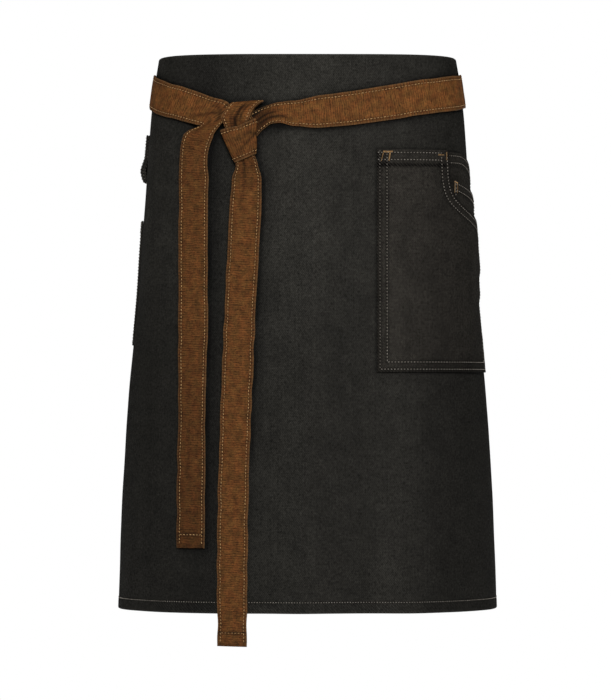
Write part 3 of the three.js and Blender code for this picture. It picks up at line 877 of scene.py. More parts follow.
def even_steps(line, count):
    """The same line with evenly spaced points."""
    arc = arc_of(line)
    return at_distances(line, arc, np.linspace(0, arc[-1], count))


def beside(line, distance):
    """A line at some distance to the right of another, as seen walking along it."""
    run = unit(np.gradient(line, axis=0))
    return line + distance * np.stack([run[:, 1], -run[:, 0]], axis=-1)


def distance_to(line, across, height):
    """Distance from points of the cloth to a line of points."""
    least = np.full(np.shape(across), FAR_AWAY)
    for point in line:
        least = np.minimum(least, np.hypot(across - point[0], height - point[1]))
    return least


SCOOP_EDGE = even_steps(scoop_line(), SCOOP_POINTS)


def below_mouth(across, height, until=SCOOP_LEFT):
    """Distance under the level part of the front pocket's mouth."""
    return np.where(across < until, POCKET_TOP - height, FAR_AWAY)


def grooves(distance, seam_rows, depths):
    """How deep two rows of stitches sink a hem."""
    parts = zip(seam_rows, depths, GROOVE_WIDTHS)
    return sum(deep * bump_at(distance, row, wide) for row, deep, wide in parts)


def seam_relief(distance, seam_rows, hem):
    """A folded and sewn edge: a raised hem with a groove at each row of stitches."""
    return raised(distance, hem, PATCH_HEM_OUT) - grooves(distance, seam_rows, PATCH_GROOVES)


def pocket_relief(across, height):
    """Ridges, grooves and puckers at the seams of the front pocket."""
    top = below_mouth(across, height)
    scoop = distance_to(SCOOP_EDGE, across, height)
    edge = inset_in(POCKET_BOX, across, height, FAR_AWAY)
    out = np.maximum(raised(top, POCKET_HEM, POCKET_HEM_OUT), raised(scoop, SCOOP_HEM, POCKET_HEM_OUT))
    out = np.maximum(out, raised(edge, POCKET_SIDE_HEM, 0.5 * POCKET_HEM_OUT))
    edge = np.minimum(edge, top)
    out = out - grooves(edge, POCKET_ROWS, POCKET_GROOVES) - grooves(scoop, SCOOP_ROWS, POCKET_GROOVES)
    ripple = soft_noise(across, height, PUCKER_CELL, PUCKER_CELL, PUCKER_SEED)
    return out + SEAM_PUCKER * ripple * fade_out(*PUCKER_FADES, np.minimum(edge, scoop))


def pocket_face(across, height):
    return pocket_under(across, height) + POCKET_WALL + pocket_relief(across, height)


def make_patch(name, material, top_line, box, face, wall, edges, crease):
    """A sewn patch from a top line to the foot of its box, with its outer face given as a height."""
    bottom_line = level_line(box["left"], box["right"], box["bottom"], len(top_line))
    row_count = max(LEAST_ROWS, int(round(np.hypot(*(top_line - bottom_line).T).max() / PATCH_STEP)))
    share = np.linspace(0, 1, row_count)[:, None, None]
    flat_points = mix(bottom_line[None, :, :], top_line[None, :, :], share)
    across, height = flat_points[..., 0], flat_points[..., 1]
    edge = edges(across, height)
    piece = laid_grid(
        name,
        place(across, height, face(across, height)),
        flat_points,
        wear=rubbed(PATCH_RIM, edge),
        crease=crease(across, height),
        pucker=fade_out(POCKET_ROWS[0], SEAM_MARKS_REACH, edge),
        # Painted light and shade across the cloth
        dye=painted_light_across(across, height),
    )
    thicken(piece, wall, edge=POCKET_EDGE)
    finish_piece(piece, material, [name.removesuffix("_cloth")])


def level_line(left, right, height, count):
    return np.stack([np.linspace(left, right, count), np.full(count, height)], axis=-1)


def sewn_round(box, inset, right_top, mouth_end):
    """Rows of stitches down the left side, along the foot, up the right side and along the mouth."""
    left, right, foot = box["left"] + inset, box["right"] - inset, box["bottom"] + inset
    mouth = box["top"] - inset
    return [
        [(left, box["top"]), (left, foot)],
        [(left, foot), (right, foot)],
        [(right, foot), (right, right_top)],
        [(box["left"], mouth), (mouth_end, mouth)],
    ]


def make_utility_pocket(material):
    """The front pocket. Returns the lines of its seams."""
    straight = level_line(POCKET_LEFT, SCOOP_LEFT, POCKET_TOP, MOUTH_COLUMNS)
    top_line = np.concatenate([straight[:-1], even_steps(scoop_line(), SCOOP_COLUMNS)])

    def edges(across, height):
        edge = inset_in(POCKET_BOX, across, height, FAR_AWAY)
        edge = np.minimum(edge, below_mouth(across, height))
        return np.minimum(edge, distance_to(SCOOP_EDGE, across, height))

    def crease(across, height):
        """Painted shade: the dark line under the top hem, fainter ones along the seams, and the dark
        corner.
        """
        top = below_mouth(across, height, MOUTH_DARK_ENDS)
        edge = edges(across, height)
        away = smooth_step(0, MOUTH_LINES_FADE, top - edge)
        dark = UNDER_HEM_DARK * bump_at(top, POCKET_HEM + UNDER_HEM, UNDER_HEM_WIDTH)
        for line in POCKET_LINES:
            strength = mix(line["at_mouth"], line["away"], away)
            dark = dark + strength * bump_at(edge, line["at"] * MM, line["wide"] * MM)
        corner = bump_at(across, POCKET_LEFT + CORNER_DARK_AT[0], CORNER_DARK_WIDTH)
        corner = corner * bump_at(top, CORNER_DARK_AT[1], CORNER_DARK_WIDTH)
        return np.clip(dark + CORNER_DARK * corner, 0, DARKEST)

    make_patch(
        "utility_pocket_cloth", material, top_line, POCKET_BOX, pocket_face, POCKET_WALL, edges, crease
    )
    lines = []
    for inset in POCKET_ROWS:
        lines += sewn_round(POCKET_BOX, inset, float(pocket_top(POCKET_RIGHT)) - inset, MOUTH_SEAM_ENDS)
    return lines + [beside(SCOOP_EDGE, inset)[4:-1] for inset in SCOOP_ROWS]


def seam_crease(distance_of, *rows_at):
    """Faint lines of painted shade at the rows of stitches."""

    def crease(across, height):
        distance = distance_of(across, height)
        return sum(ROW_DARK * bump_at(distance, row, ROW_DARK_WIDTH) for row in rows_at)

    return crease


FACING_SINKS = 1.2 * MM
FACING_FALL = 15 * MM
FACING_FALLS_FROM = 145 * MM
FACING_FALL_CURVE = 1.3
THINNER = 0.1 * MM
UNDER_INNER_HEM = 0.5 * MM
COIN_RELIEF = 0.6


def facing_top(across):
    """The facing's top edge: level beside the scoop, then falling towards the side."""
    share = np.clip((across - FACING_FALLS_FROM) / (FACING_BOX["right"] - FACING_FALLS_FROM), 0, 1)
    return FACING_BOX["top"] - FACING_SINKS - FACING_FALL * share**FACING_FALL_CURVE


def coin_top(across):
    """The coin pocket's slanting top edge."""
    share = (across - COIN_BOX["left"]) / (COIN_BOX["right"] - COIN_BOX["left"])
    return COIN_BOX["top"] - COIN_FALL * share


def make_inner_patch(name, material, box, top_of, columns, out, relief_share, seam_rows, hem):
    """A patch of which the top hem shows. Returns the lines of its top and right seams, and its face."""
    across = np.linspace(box["left"], box["right"], columns)
    top = top_of(across)

    def below_top(across, height):
        return top_of(across) - height

    def face(across, height):
        return out + relief_share * seam_relief(below_top(across, height), seam_rows, hem)

    make_patch(
        name,
        material,
        np.stack([across, top], axis=-1),
        box,
        face,
        POCKET_WALL - THINNER,
        lambda across, height: inset_in(box, across, height, top_of(across)),
        seam_crease(below_top, *seam_rows, hem + UNDER_INNER_HEM),
    )
    sewn = [list(zip(across, top - inset)) for inset in seam_rows]
    right = box["right"] - SIDE_ROW
    return [*sewn, [(right, top[-1]), (right, box["bottom"])]], face


def make_facing(material):
    out = FACING_OUT - PATCH_HEM_OUT
    shape = (FACING_BOX, facing_top, FACING_COLUMNS, out, 1, FACING_ROWS, FACING_HEM)
    return make_inner_patch("pocket_facing_cloth", material, *shape)


def make_coin_pocket(material):
    out = COIN_OUT - THINNER
    shape = (COIN_BOX, coin_top, COIN_COLUMNS, out, COIN_RELIEF, COIN_ROWS, COIN_HEM)
    sewn, face = make_inner_patch("coin_pocket_cloth", material, *shape)
    left = COIN_BOX["left"] + SIDE_ROW
    sewn.insert(2, [(left, COIN_BOX["top"]), (left, COIN_BOX["bottom"])])
    return sewn, face


def make_side_pocket(material):
    """The side pocket. Returns the lines of its seams, and its face."""
    box = SIDE_BOX

    def edges(across, height):
        return inset_in(box, across, height)

    def face(across, height):
        share_across = (across - box["left"]) / SIDE_POCKET_WIDTH
        share_up = (height - box["bottom"]) / SIDE_POCKET_HEIGHT
        under = SEAT_GAP + POCKET_ROOM * pocket_room(share_across, share_up)
        top_hem = seam_relief(box["top"] - height, POCKET_ROWS, POCKET_HEM)
        side_hem = 0.5 * seam_relief(edges(across, height), POCKET_ROWS, SIDE_POCKET_HEM)
        return under + POCKET_WALL + np.maximum(top_hem, side_hem)

    top_line = level_line(box["left"], box["right"], box["top"], SIDE_COLUMNS)
    crease = seam_crease(edges, *POCKET_ROWS)
    make_patch("side_pocket_cloth", material, top_line, box, face, POCKET_WALL, edges, crease)
    sewn = [line for inset in POCKET_ROWS for line in sewn_round(box, inset, box["top"], box["right"])]
    return sewn, face


# Ribbons: the ties and the loop follow the same routes as the modelled solids
FRONT_FLAT = 0.72 * WAIST_HALF_WIDTH
SIDE_START = 1.4 * WAIST_HALF_WIDTH
TIE_LAYER = TIE_THICKNESS + TIE_GAP


def place_on_girth(across, height, out):
    """Far from the front, a distance round is scaled by the girth at its own height."""
    share = smooth_step(FRONT_FLAT, SIDE_START, np.abs(across))
    girth = np.interp(height, LEVELS, HALF_GIRTH_AT_LEVEL)
    return place(across * mix(1, girth / GIRTH_HALF, share), height, out)


def layer_out(layer):
    """How far the middle of a tie stands out on some layer of the knot."""
    return TIE_SEAT_GAP + TIE_THICKNESS / 2 + layer * TIE_LAYER


# The back stretch, from the tie's own back corner of the cloth to the far one, in tie widths: steps
# from the named start, drops from the top edge, and leans in degrees
BACK = rows(
    "start step drop long_layer lean",
    ("own", -1.15, 0.49, 0, 1),
    ("own", -0.5, 0.5, 0, 3),
    ("own", 0.3, 0.56, 1, 8),
    ("own", 1.1, 0.71, 1, 11),
    ("middle", 0, 1.06, 1.05, 12),
    ("far", 1.1, 1.4, 1, 11),
    ("far", 0.15, 1.58, 1, 6),
    ("far", -1, 1.62, 0, 0),
)


def back_row(row, side, layer):
    starts = {"own": 2 * GIRTH_HALF - HALF_CLOTH, "middle": GIRTH_HALF, "far": HALF_CLOTH}
    way = -1 if row["start"] == "own" else 1
    across = side * (starts[row["start"]] + way * row["step"] * TIE_WIDTH)
    return (across, TOP - row["drop"] * TIE_WIDTH, layer_out(layer), -side * row["lean"], TIE_WIDTH)


def belt_row(row):
    """Distance round as a share of half the girth, height and width in tie widths."""
    width = row["wide"] * TIE_WIDTH
    return (row["round"] * GIRTH_HALF, row["up"] * TIE_WIDTH, layer_out(0), row["lean"], width)


def knot_row(row):
    """Distances from the knot in tie widths."""
    across = KNOT_ACROSS + row["right"] * TIE_WIDTH
    height = TOP - KNOT_BELOW_TOP + row["up"] * TIE_WIDTH
    return (across, height, layer_out(row["layer"]), row["lean"], row["wide"] * TIE_WIDTH)


def tail_row(row, length):
    return knot_row({**row, "up": -row["fall"] * length / TIE_WIDTH})


SHORT_BELT = rows(
    "round up lean wide",
    (-0.65, -0.38, -6, 1.1),
    (-0.55, -0.14, -2, 1.15),
    (-0.45, -0.12, 7, 1.16),
    (-0.37, -0.32, 15, 1.16),
    (-0.3, -0.6, 18, 1.16),
)
SHORT_TURN = rows(
    "right up layer lean wide",
    (-1.68, 0.64, 0.8, 20, 1.1),
    (-1.18, 0.47, 1.7, 28, 1.09),
    (-0.87, 0.36, 2, 52, 1.22),
    (-0.83, 0.23, 2, 63, 1.2),
    (-0.89, 0.09, 2, 74, 1.06),
    (-1.1, -0.05, 1.9, 83, 0.9),
    (-1.3, -0.22, 1.6, 95, 0.92),
    (-1.44, -0.42, 1.3, 102, 1.01),
    (-1.55, -0.72, 0.9, 100, 1.02),
    (-1.61, -1.12, 0.5, 96, 1),
    (-1.62, -1.9, 0.2, 92, 1.03),
)
SHORT_TAIL = rows(
    "right fall layer lean wide",
    (-1.64, 0.28, 0.1, 90.4, 1.03),
    (-1.62, 0.47, 0.1, 90.4, 1.02),
    (-1.65, 0.62, 0.1, 90.4, 0.94),
    (-1.68, 1, 0.1, 90.4, 0.96),
)
LONG_BELT = rows(
    "round up lean wide",
    (0.65, -0.34, 5, 1.06),
    (0.55, -0.06, 2, 1.12),
    (0.47, -0.07, -5, 1.15),
    (0.39, -0.2, -9, 1.17),
    (0.26, -0.48, -10, 1.2),
    (0.19, -0.68, -9, 1.2),
    (0.095, -0.91, -8, 1.18),
    (0.03, -1.04, -5, 1.12),
)
LONG_KNOT = rows(
    "right up layer lean wide",
    (1.85, 0.4, 0, -2, 0.9),
    (1.34, 0.42, 0, 0, 0.73),
    (0.99, 0.36, 0, -6, 0.66),
    (0.7, 0.2, 0, -20, 0.7),
    (0.32, -0.1, 0, -24, 0.85),
    (-0.1, -0.5, 0.1, -24, 1.1),
    (-0.37, -0.73, 1.1, -24, 1.22),
    (-0.39, -0.75, 2.9, -24, 1.22),
    (-0.18, -0.68, 4, -22, 1.19),
    (0.12, -0.59, 4.2, -14, 1.13),
    (0.38, -0.47, 4.1, -5, 1.17),
    (0.53, -0.41, 3.3, -1, 1.22),
    (0.54, -0.38, 2.3, 1, 1.16),
    (0.42, -0.28, 1.4, 12, 0.9),
    (0.16, 0.06, 1.05, 45, 0.7),
    (0.14, 0.42, 1.1, 76, 0.74),
    (0.26, 0.77, 2.1, 86, 1.08),
    (0.13, 0.7, 3.1, 86, 1.06),
    (-0.02, 0.5, 3.4, 84, 1),
    (-0.12, 0.28, 3.3, 88, 0.98),
    (-0.12, 0, 3.1, 88, 0.82),
    (-0.02, -0.4, 2.8, 86, 0.64),
    (0.12, -0.9, 2.5, 84, 0.64),
    (0.23, -1.38, 2.2, 87, 0.76),
    (0.22, -1.9, 1.1, 90, 1.03),
    (0.18, -2.8, 0.2, 92, 1.1),
)
LONG_TAIL = rows(
    "right fall layer lean wide",
    (0.02, 0.33, 0.1, 92, 1.07),
    (-0.18, 0.62, 0.1, 92, 1.06),
    (-0.25, 0.8, 0.1, 92, 1.04),
    (-0.25, 1, 0.1, 91.5, 1),
)


def tie_route(side, over, belt, knot, tail, tail_length):
    """A tie's rows: behind the back, round the side, at the knot and down its tail."""
    return [
        *(back_row(row, side, row["long_layer"] if over else 0) for row in BACK),
        *(belt_row(row) for row in belt),
        *(knot_row(row) for row in knot),
        *(tail_row(row, tail_length) for row in tail),
    ]


# The loop: a band folded in half at its bottom, with both ends sewn together at its top. Shares of
# its length and of how far it bulges out
LOOP_ROUTE = rows(
    "fall share",
    (0, 0),
    (0.3, 0),
    (0.48, 0.02),
    (0.62, 0.33),
    (0.75, 0.52),
    (0.87, 0.3),
    (0.96, 0.12),
    (1, 0.28),
    (0.97, 0.5),
    (0.89, 0.75),
    (0.76, 0.98),
    (0.63, 0.75),
    (0.49, 0.46),
    (0.3, 0.42),
    (0, 0.42),
)


def loop_route():
    inner = SEAT_GAP + LOOP_THICKNESS / 2
    spread = LOOP_BULGE + LOOP_THICKNESS
    across = -LOOP_FRONT - LOOP_WIDTH / 2
    hang = LOOP_LENGTH - LOOP_THICKNESS / 2
    return [
        (across, LOOP_TOP - r["fall"] * hang, inner + r["share"] * spread, 90, LOOP_WIDTH)
        for r in LOOP_ROUTE
    ]


FINE_STEPS = 60
STATION_LENGTH = 1.8 * MM
STATION_TURN = 0.12
END_ROUNDING = 0.8 * MM
END_STOPS = (0.02, 0.12, 0.35, 0.7, 1.0)


class Ribbon:
    """A flat band along a route of rows: across, height, out, lean in degrees and width.

    Its stations lie closer where it turns, and at its ends.
    """

    def __init__(self, route, thickness, station_length=STATION_LENGTH):
        self.rows = np.array(route, float)
        self.spans = len(self.rows) - 1
        self.thickness = thickness
        fine = np.linspace(0, 1, self.spans * FINE_STEPS + 1)
        centre, width, _, _ = self.at(fine)
        spot = place_on_girth(*centre.T)
        step = np.diff(spot, axis=0)
        length = np.linalg.norm(step, axis=1)
        heading = step / length[:, None]
        bend = np.concatenate([[0], np.arccos(np.clip((heading[1:] * heading[:-1]).sum(1), -1, 1))])
        swing = np.arccos(np.clip((width[1:] * width[:-1]).sum(1), -1, 1))
        measure = np.concatenate([[0], np.cumsum(length / station_length + (bend + swing) / STATION_TURN)])
        arc = np.concatenate([[0], np.cumsum(length)])
        self.length = arc[-1]
        even = np.interp(np.linspace(0, measure[-1], int(measure[-1]) + 1), measure, fine)
        ends = np.array(END_STOPS) * END_ROUNDING
        near = np.interp(np.concatenate([ends, self.length - ends]), arc, fine)
        self.stations = np.unique(np.concatenate([even, near]))
        self.arc = np.interp(self.stations, fine, arc)

    def at(self, t):
        """Centre, width vector, normal and half width at some shares of the route.

        The middle line is a smooth curve through the rows that doesn't swing out where they lie close.
        """
        span = np.minimum((t * self.spans).astype(int), self.spans - 1)
        ease = t * self.spans - span
        points = self.rows[:, :3]
        ends = np.concatenate([[2 * points[0] - points[1]], points, [2 * points[-1] - points[-2]]])
        p0, p1, p2, p3 = (ends[span + k] for k in range(4))
        d0, d1, d2 = (
            np.maximum(np.linalg.norm(b - a, axis=1), 1e-9)[:, None] ** 0.5
            for a, b in ((p0, p1), (p1, p2), (p2, p3))
        )
        start = ((p1 - p0) / d0 - (p2 - p0) / (d0 + d1) + (p2 - p1) / d1) * d1
        end = ((p2 - p1) / d1 - (p3 - p1) / (d1 + d2) + (p3 - p2) / d2) * d1
        x = ease[:, None]
        square = -3 * p1 + 3 * p2 - 2 * start - end
        cube = 2 * p1 - 2 * p2 + start + end
        centre = p1 + start * x + square * x**2 + cube * x**3
        tangent = unit(start + 2 * square * x + 3 * cube * x**2)
        lean = np.radians(mix(self.rows[span, 3], self.rows[span + 1, 3], ease))
        width = np.stack([np.sin(lean), np.cos(lean), np.zeros_like(lean)], axis=-1)
        half = mix(self.rows[span, 4], self.rows[span + 1, 4], smooth_step(0, 1, ease)) / 2
        return centre, width, unit(np.cross(tangent, width)), half


# A tie's section: distances in from each edge, with the thickness there as a share of the cloth's
TIE_SEAM = 2.8 * MM
TIE_SECTION = rows(
    "inset thick",
    (0, 0),
    (0.12, 0.4),
    (0.4, 0.72),
    (0.9, 0.94),
    (1.5, 1.02),
    (2.2, 0.88),
    (2.8, 0.7),
    (3.4, 0.84),
    (4.2, 0.96),
    (5.4, 1.0),
    (6.6, 1.0),
    (7.8, 1.0),
    (9.0, 1.0),
    (10.2, 1.0),
    (11.6, 1.0),
)

# How a tie is dressed: how far it waves, bunches where it is narrow and sways at its edges, how far in
# its end seams lie, and its creases
TIE_LOOKS = {"wave": 0.35 * MM, "bunch": 1.2 * MM, "sway": 0.5 * MM, "hem": 12 * MM, "creases": []}
SEWN_BOX = (3 * MM, 25 * MM)
NARROWEST = 0.6
SWAY_CELL = 13 * MM
HEM_SWELL = 0.16 * MM
HEM_SWELL_EASE = 1.2 * MM
END_GROOVE = 0.2 * MM
END_GROOVE_WIDTH = 0.8 * MM
TIE_CREASE_FALLS = (0.7, 1.15)
SAME_POINT = 2e-6
CROSS_SEAM_POINTS = 24
BUNCHES = 3

# The waves of a band's faces: cells in millimetres and shares of its wave
BAND_WAVES = rows("along across high", (31, 15, 1), (9, 7, 0.35))

# How dark the painted shade of a band is at its side seams, at its end seams and for each millimetre of
# crease
SIDE_SEAM_DARK = 0.35
SIDE_SEAM_WIDTH = 0.8 * MM
END_SEAM_DARK = 0.9
END_SEAM_WIDTH = 1.3 * MM
CREASED_DARK = 0.9
TIE_PUCKERS = (TIE_SEAM - 0.6 * MM, TIE_SEAM + 1.6 * MM)


def section_stops(table, full_width):
    """Shares across the band from -1 to 1, and the half thickness share at each."""
    inset = column(table, "inset") * MM
    share = 1 - inset / (full_width / 2)
    return (
        np.concatenate([-share, [0], share[::-1]]),
        np.concatenate([column(table, "thick"), [table[-1]["thick"]], column(table, "thick")[::-1]]),
    )


# Creases pressed in the ties at the knot: rows of the route and shares across the band from and to,
# with the width and the depth in millimetres along the band's normal
SHORT_CREASES = rows(
    "from_row to_row from_share to_share wide deep",
    (13.2, 15.6, -0.5, 0.3, 1.8, -0.8),
    (14.0, 17.5, 0.55, 0.1, 1.6, -0.7),
    (15.5, 19.5, -0.35, -0.45, 1.6, -0.6),
)
LONG_CREASES = rows(
    "from_row to_row from_share to_share wide deep",
    (16.4, 19.6, -0.35, -0.3, 1.8, 1.1),
    (16.8, 19.2, 0.3, 0.35, 1.5, 0.6),
    (24.0, 27.4, -0.5, 0.3, 1.6, -0.7),
    (25.2, 28.2, 0.45, -0.1, 1.5, -0.6),
    (17.2, 19.6, 0.2, 0.05, 1.6, -1.2),
    (18.3, 20.6, 0.95, 0.35, 3.4, -1.3),
    (33.0, 37.0, 0.12, -0.12, 1.5, -2.1),
    (32.8, 35.8, 0.42, 0.3, 1.2, -1.0),
    (33.6, 36.4, -0.3, -0.4, 1.2, -0.8),
    (37.2, 40.4, -0.35, -0.1, 1.4, -0.6),
)


class Band:
    """A ribbon dressed as sewn cloth: its faces, its edges and where its seams run."""

    def __init__(self, ribbon, table, full_width, seed, **looks):
        self.ribbon = ribbon
        self.full_width = full_width
        self.seed = seed
        self.looks = {**TIE_LOOKS, **looks}
        self.share, self.thick = section_stops(table, full_width)

    def creased(self, t, share, half):
        """How deep each crease is pressed along the band's normal, in metres."""
        row = t[:, None] * self.ribbon.spans
        depth = np.zeros(np.broadcast_shapes(row.shape, share.shape))
        for crease in self.looks["creases"]:
            along = (row - crease["from_row"]) / (crease["to_row"] - crease["from_row"])
            away = (share - mix(crease["from_share"], crease["to_share"], along)) * half
            fade = crease_fade(along, TIE_CREASE_FALLS)
            depth = depth + crease["deep"] * MM * fade * bump_at(away, 0, crease["wide"] * MM)
        return depth

    def end_shape(self, arc):
        """How the thickness falls off at the very ends."""
        inside = np.clip(np.minimum(arc, self.ribbon.length - arc) / END_ROUNDING, 0, 1)
        return np.sqrt(1 - (1 - inside) ** 2)

    def surface(self, t, arc, share, side, lift=0.0):
        """Points on one face at stations t and shares across the band."""
        centre, width, normal, half = (v[:, None] for v in self.ribbon.at(t))
        arc = arc[:, None]
        share = share[None, :]
        looks = self.looks
        thick = np.interp(share[0], self.share, self.thick)[None, :] * self.ribbon.thickness / 2
        narrow = np.clip(1 - 2 * half / self.full_width, 0, NARROWEST) / NARROWEST
        inner = 1 - np.abs(share) ** 4
        edge_cell = np.sign(share) * self.full_width
        sway = soft_noise(arc, edge_cell, SWAY_CELL, self.full_width / 2, self.seed + 2)
        half = half + looks["sway"] * sway
        shift = looks["bunch"] * narrow * np.cos(share * BUNCHES * math.pi) + self.creased(t, share, half)
        for k, wave in enumerate(BAND_WAVES):
            noise = soft_noise(arc, share * half, wave["along"] * MM, wave["across"] * MM, self.seed + k)
            shift = shift + wave["high"] * looks["wave"] * noise
        hem = np.minimum(arc, self.ribbon.length - arc)
        swell = HEM_SWELL * fade_out(looks["hem"], looks["hem"] + HEM_SWELL_EASE, hem)
        swell = swell - END_GROOVE * bump_at(hem, looks["hem"], END_GROOVE_WIDTH)
        height = (thick + swell * inner) * self.end_shape(arc)
        offset = (side * (height + lift) + shift * inner)[..., None]
        point = centre + width * (share * half)[..., None] + normal * offset
        return place_on_girth(point[..., 0], point[..., 1], point[..., 2])

    def make(self, name, dye):
        """The band's cloth: both faces laid as one sheet round the edges, and joined at the seam."""
        t = self.ribbon.stations
        arc = self.ribbon.arc
        returning = self.share[::-1]
        front = self.surface(t, arc, self.share, 1)
        back = self.surface(t, arc, returning, -1)
        share = np.concatenate([self.share, returning[1:]])
        half = self.full_width / 2
        distance = np.concatenate([self.share * half, (2 - returning[1:]) * half])
        inset = (1 - np.abs(share)) * half
        end = np.minimum(arc, self.ribbon.length - arc)[:, None]
        # Painted shade at the seams and in the creases
        crease = SIDE_SEAM_DARK * bump_at(inset, TIE_SEAM, SIDE_SEAM_WIDTH)[None, :]
        crease = crease + END_SEAM_DARK * bump_at(end, self.looks["hem"], END_SEAM_WIDTH)
        crease = crease + CREASED_DARK * np.abs(self.creased(t, share[None, :], half)) / MM
        rim = np.minimum(inset[None, :], end)
        piece = laid_grid(
            name,
            np.concatenate([front, back[:, 1:]], axis=1),
            np.stack(np.broadcast_arrays(arc[:, None], distance[None, :]), axis=-1),
            wear=rubbed(TIE_RIM, inset),
            crease=np.clip(crease, 0, 1),
            pucker=fade_out(*TIE_PUCKERS, rim),
            # Painted light and shade along the band
            dye=np.reshape(dye, (-1, 1)),
        )
        make_active(piece)
        bpy.ops.object.mode_set(mode="EDIT")
        bpy.ops.mesh.select_all(action="SELECT")
        bpy.ops.mesh.remove_doubles(threshold=SAME_POINT)
        bpy.ops.mesh.normals_make_consistent(inside=False)
        bpy.ops.object.mode_set(mode="OBJECT")
        bpy.ops.object.shade_smooth()
        return piece

    def traced(self, t, arc, share, side):
        """A path on one face and its normals, at stations t and shares across the band."""
        path = self.surface(t, arc, share, side).reshape(-1, 3)
        above = self.surface(t, arc, share, side, lift=0.5 * MM).reshape(-1, 3)
        return path, unit(above - path)

    def seam(self, inset, side, ends):
        """A row of stitches at some distance in from an edge, which starts and stops short of the ends."""
        keep = (self.ribbon.arc >= ends) & (self.ribbon.arc <= self.ribbon.length - ends)
        share = np.array([1 - abs(inset) / (self.full_width / 2)]) * math.copysign(1, inset)
        return self.traced(self.ribbon.stations[keep], self.ribbon.arc[keep], share, side)

    def cross_seam(self, inset, side, distance):
        """A row of stitches straight across the band, at a distance from its start."""
        share = np.linspace(-1, 1, CROSS_SEAM_POINTS) * (1 - inset / (self.full_width / 2))
        arc = np.array([distance])
        return self.traced(np.interp(arc, self.ribbon.arc, self.ribbon.stations), arc, share, side)

    def sewn_paths(self, inset, ends, distances):
        """Rows of stitches on both faces: along both edges, and across the band at some distances."""
        paths = []
        for side in (1, -1):
            paths += [self.seam(edge, side, ends) for edge in (inset, -inset)]
            paths += [self.cross_seam(inset, side, distance) for distance in distances]
        return paths


STITCH_PITCH = 3.05 * MM
DENIM_STITCH_PITCH = 2.93 * MM
HEM_STITCH_PITCH = 2.4 * MM
TIE_THREAD_RADIUS = 0.36 * MM
TIE_STITCH = 0.68
TIE_SEAM_ENDS = 2 * MM

# Painted light and shade on each tie along its route, as shares of its colour, by the numbers of its rows
SHORT_PAINTED_LIGHT = rows(
    "row share",
    (0, 0.95),
    (8, 0.98),
    (11, 1.05),
    (14, 0.85),
    (19, 0.74),
    (22.5, 0.63),
    (24, 0.7),
    (25, 0.69),
    (27, 0.48),
)
LONG_PAINTED_LIGHT = rows(
    "row share",
    (0, 0.95),
    (7, 1.05),
    (9, 1.22),
    (11, 1.1),
    (13, 0.92),
    (17, 0.85),
    (18.2, 0.5),
    (19.5, 0.34),
    (21, 0.7),
    (22.5, 0.72),
    (28, 0.7),
    (31, 0.6),
    (33, 0.93),
    (35, 0.88),
    (36, 0.6),
    (39.5, 0.6),
    (41, 0.76),
    (43, 0.76),
    (45, 0.75),
)


def make_band(name, band, material, dye):
    """The cloth of a tie or of the loop, entered as a sheet."""
    piece = band.make(name, dye)
    finish_piece(piece, material, [name.removesuffix("_cloth")])


def make_tie(name, ribbon, seed, dye, creases):
    band = Band(ribbon, TIE_SECTION, TIE_WIDTH, seed, creases=creases)
    # Painted light and shade along the tie, from its table
    pale = from_table(dye, "row", "share", ribbon.stations * ribbon.spans)
    make_band(name, band, BROWN_DENIM, pale)
    return band


def tie_stitches(band, seed, end_radius=TIE_THREAD_RADIUS):
    """Rows along both edges, the box that holds the start to the panel, and one row across the end."""
    paths = band.sewn_paths(TIE_SEAM, TIE_SEAM_ENDS, SEWN_BOX)
    end = band.ribbon.length - TIE_LOOKS["hem"]
    ends = [band.cross_seam(TIE_SEAM, side, end) for side in (1, -1)]
    radii = [TIE_THREAD_RADIUS] * len(paths) + [end_radius] * len(ends)
    return [
        stitched_row(*path, STITCH_PITCH, TIE_STITCH, radius, seed + k)
        for k, (path, radius) in enumerate(zip(paths + ends, radii))
    ]


# The loop's section, seams and looks
LOOP_SECTION = rows(
    "inset thick",
    (0, 0),
    (0.15, 0.6),
    (0.5, 1),
    (2, 1),
    (5, 1),
    (8, 1),
)
LOOP_LOOKS = {"wave": 0.1 * MM, "bunch": 0, "sway": 0.15 * MM, "hem": 3 * MM}
LOOP_STATION = 1.2 * MM
LOOP_SEAM = 2 * MM
LOOP_SEAM_ENDS = 1 * MM
LOOP_TACKS = (8 * MM, 16 * MM)
# Painted shade over the whole loop
LOOP_PAINTED_SHADE = 0.6
LOOP_SEED = 5


def make_side_loop(material):
    """The loop's cloth. Returns the rows along its edges and those that sew it to the panel."""
    ribbon = Ribbon(loop_route(), LOOP_THICKNESS, LOOP_STATION)
    band = Band(ribbon, LOOP_SECTION, LOOP_WIDTH, LOOP_SEED, **LOOP_LOOKS)
    make_band("side_loop_cloth", band, material, LOOP_PAINTED_SHADE)
    paths = band.sewn_paths(LOOP_SEAM, LOOP_SEAM_ENDS, [ribbon.length - tack for tack in LOOP_TACKS])
    return [stitched_row(*path, DENIM_STITCH_PITCH) for path in paths]


# Materials
def operation(kind, swapped=False):
    """A method that puts its socket, and what it is combined with, in one maths node."""

    def method(self, *others):
        values = [*others, self] if swapped else [self, *others]
        return self.paint.node("ShaderNodeMath", {"operation": kind}, values)

    return method


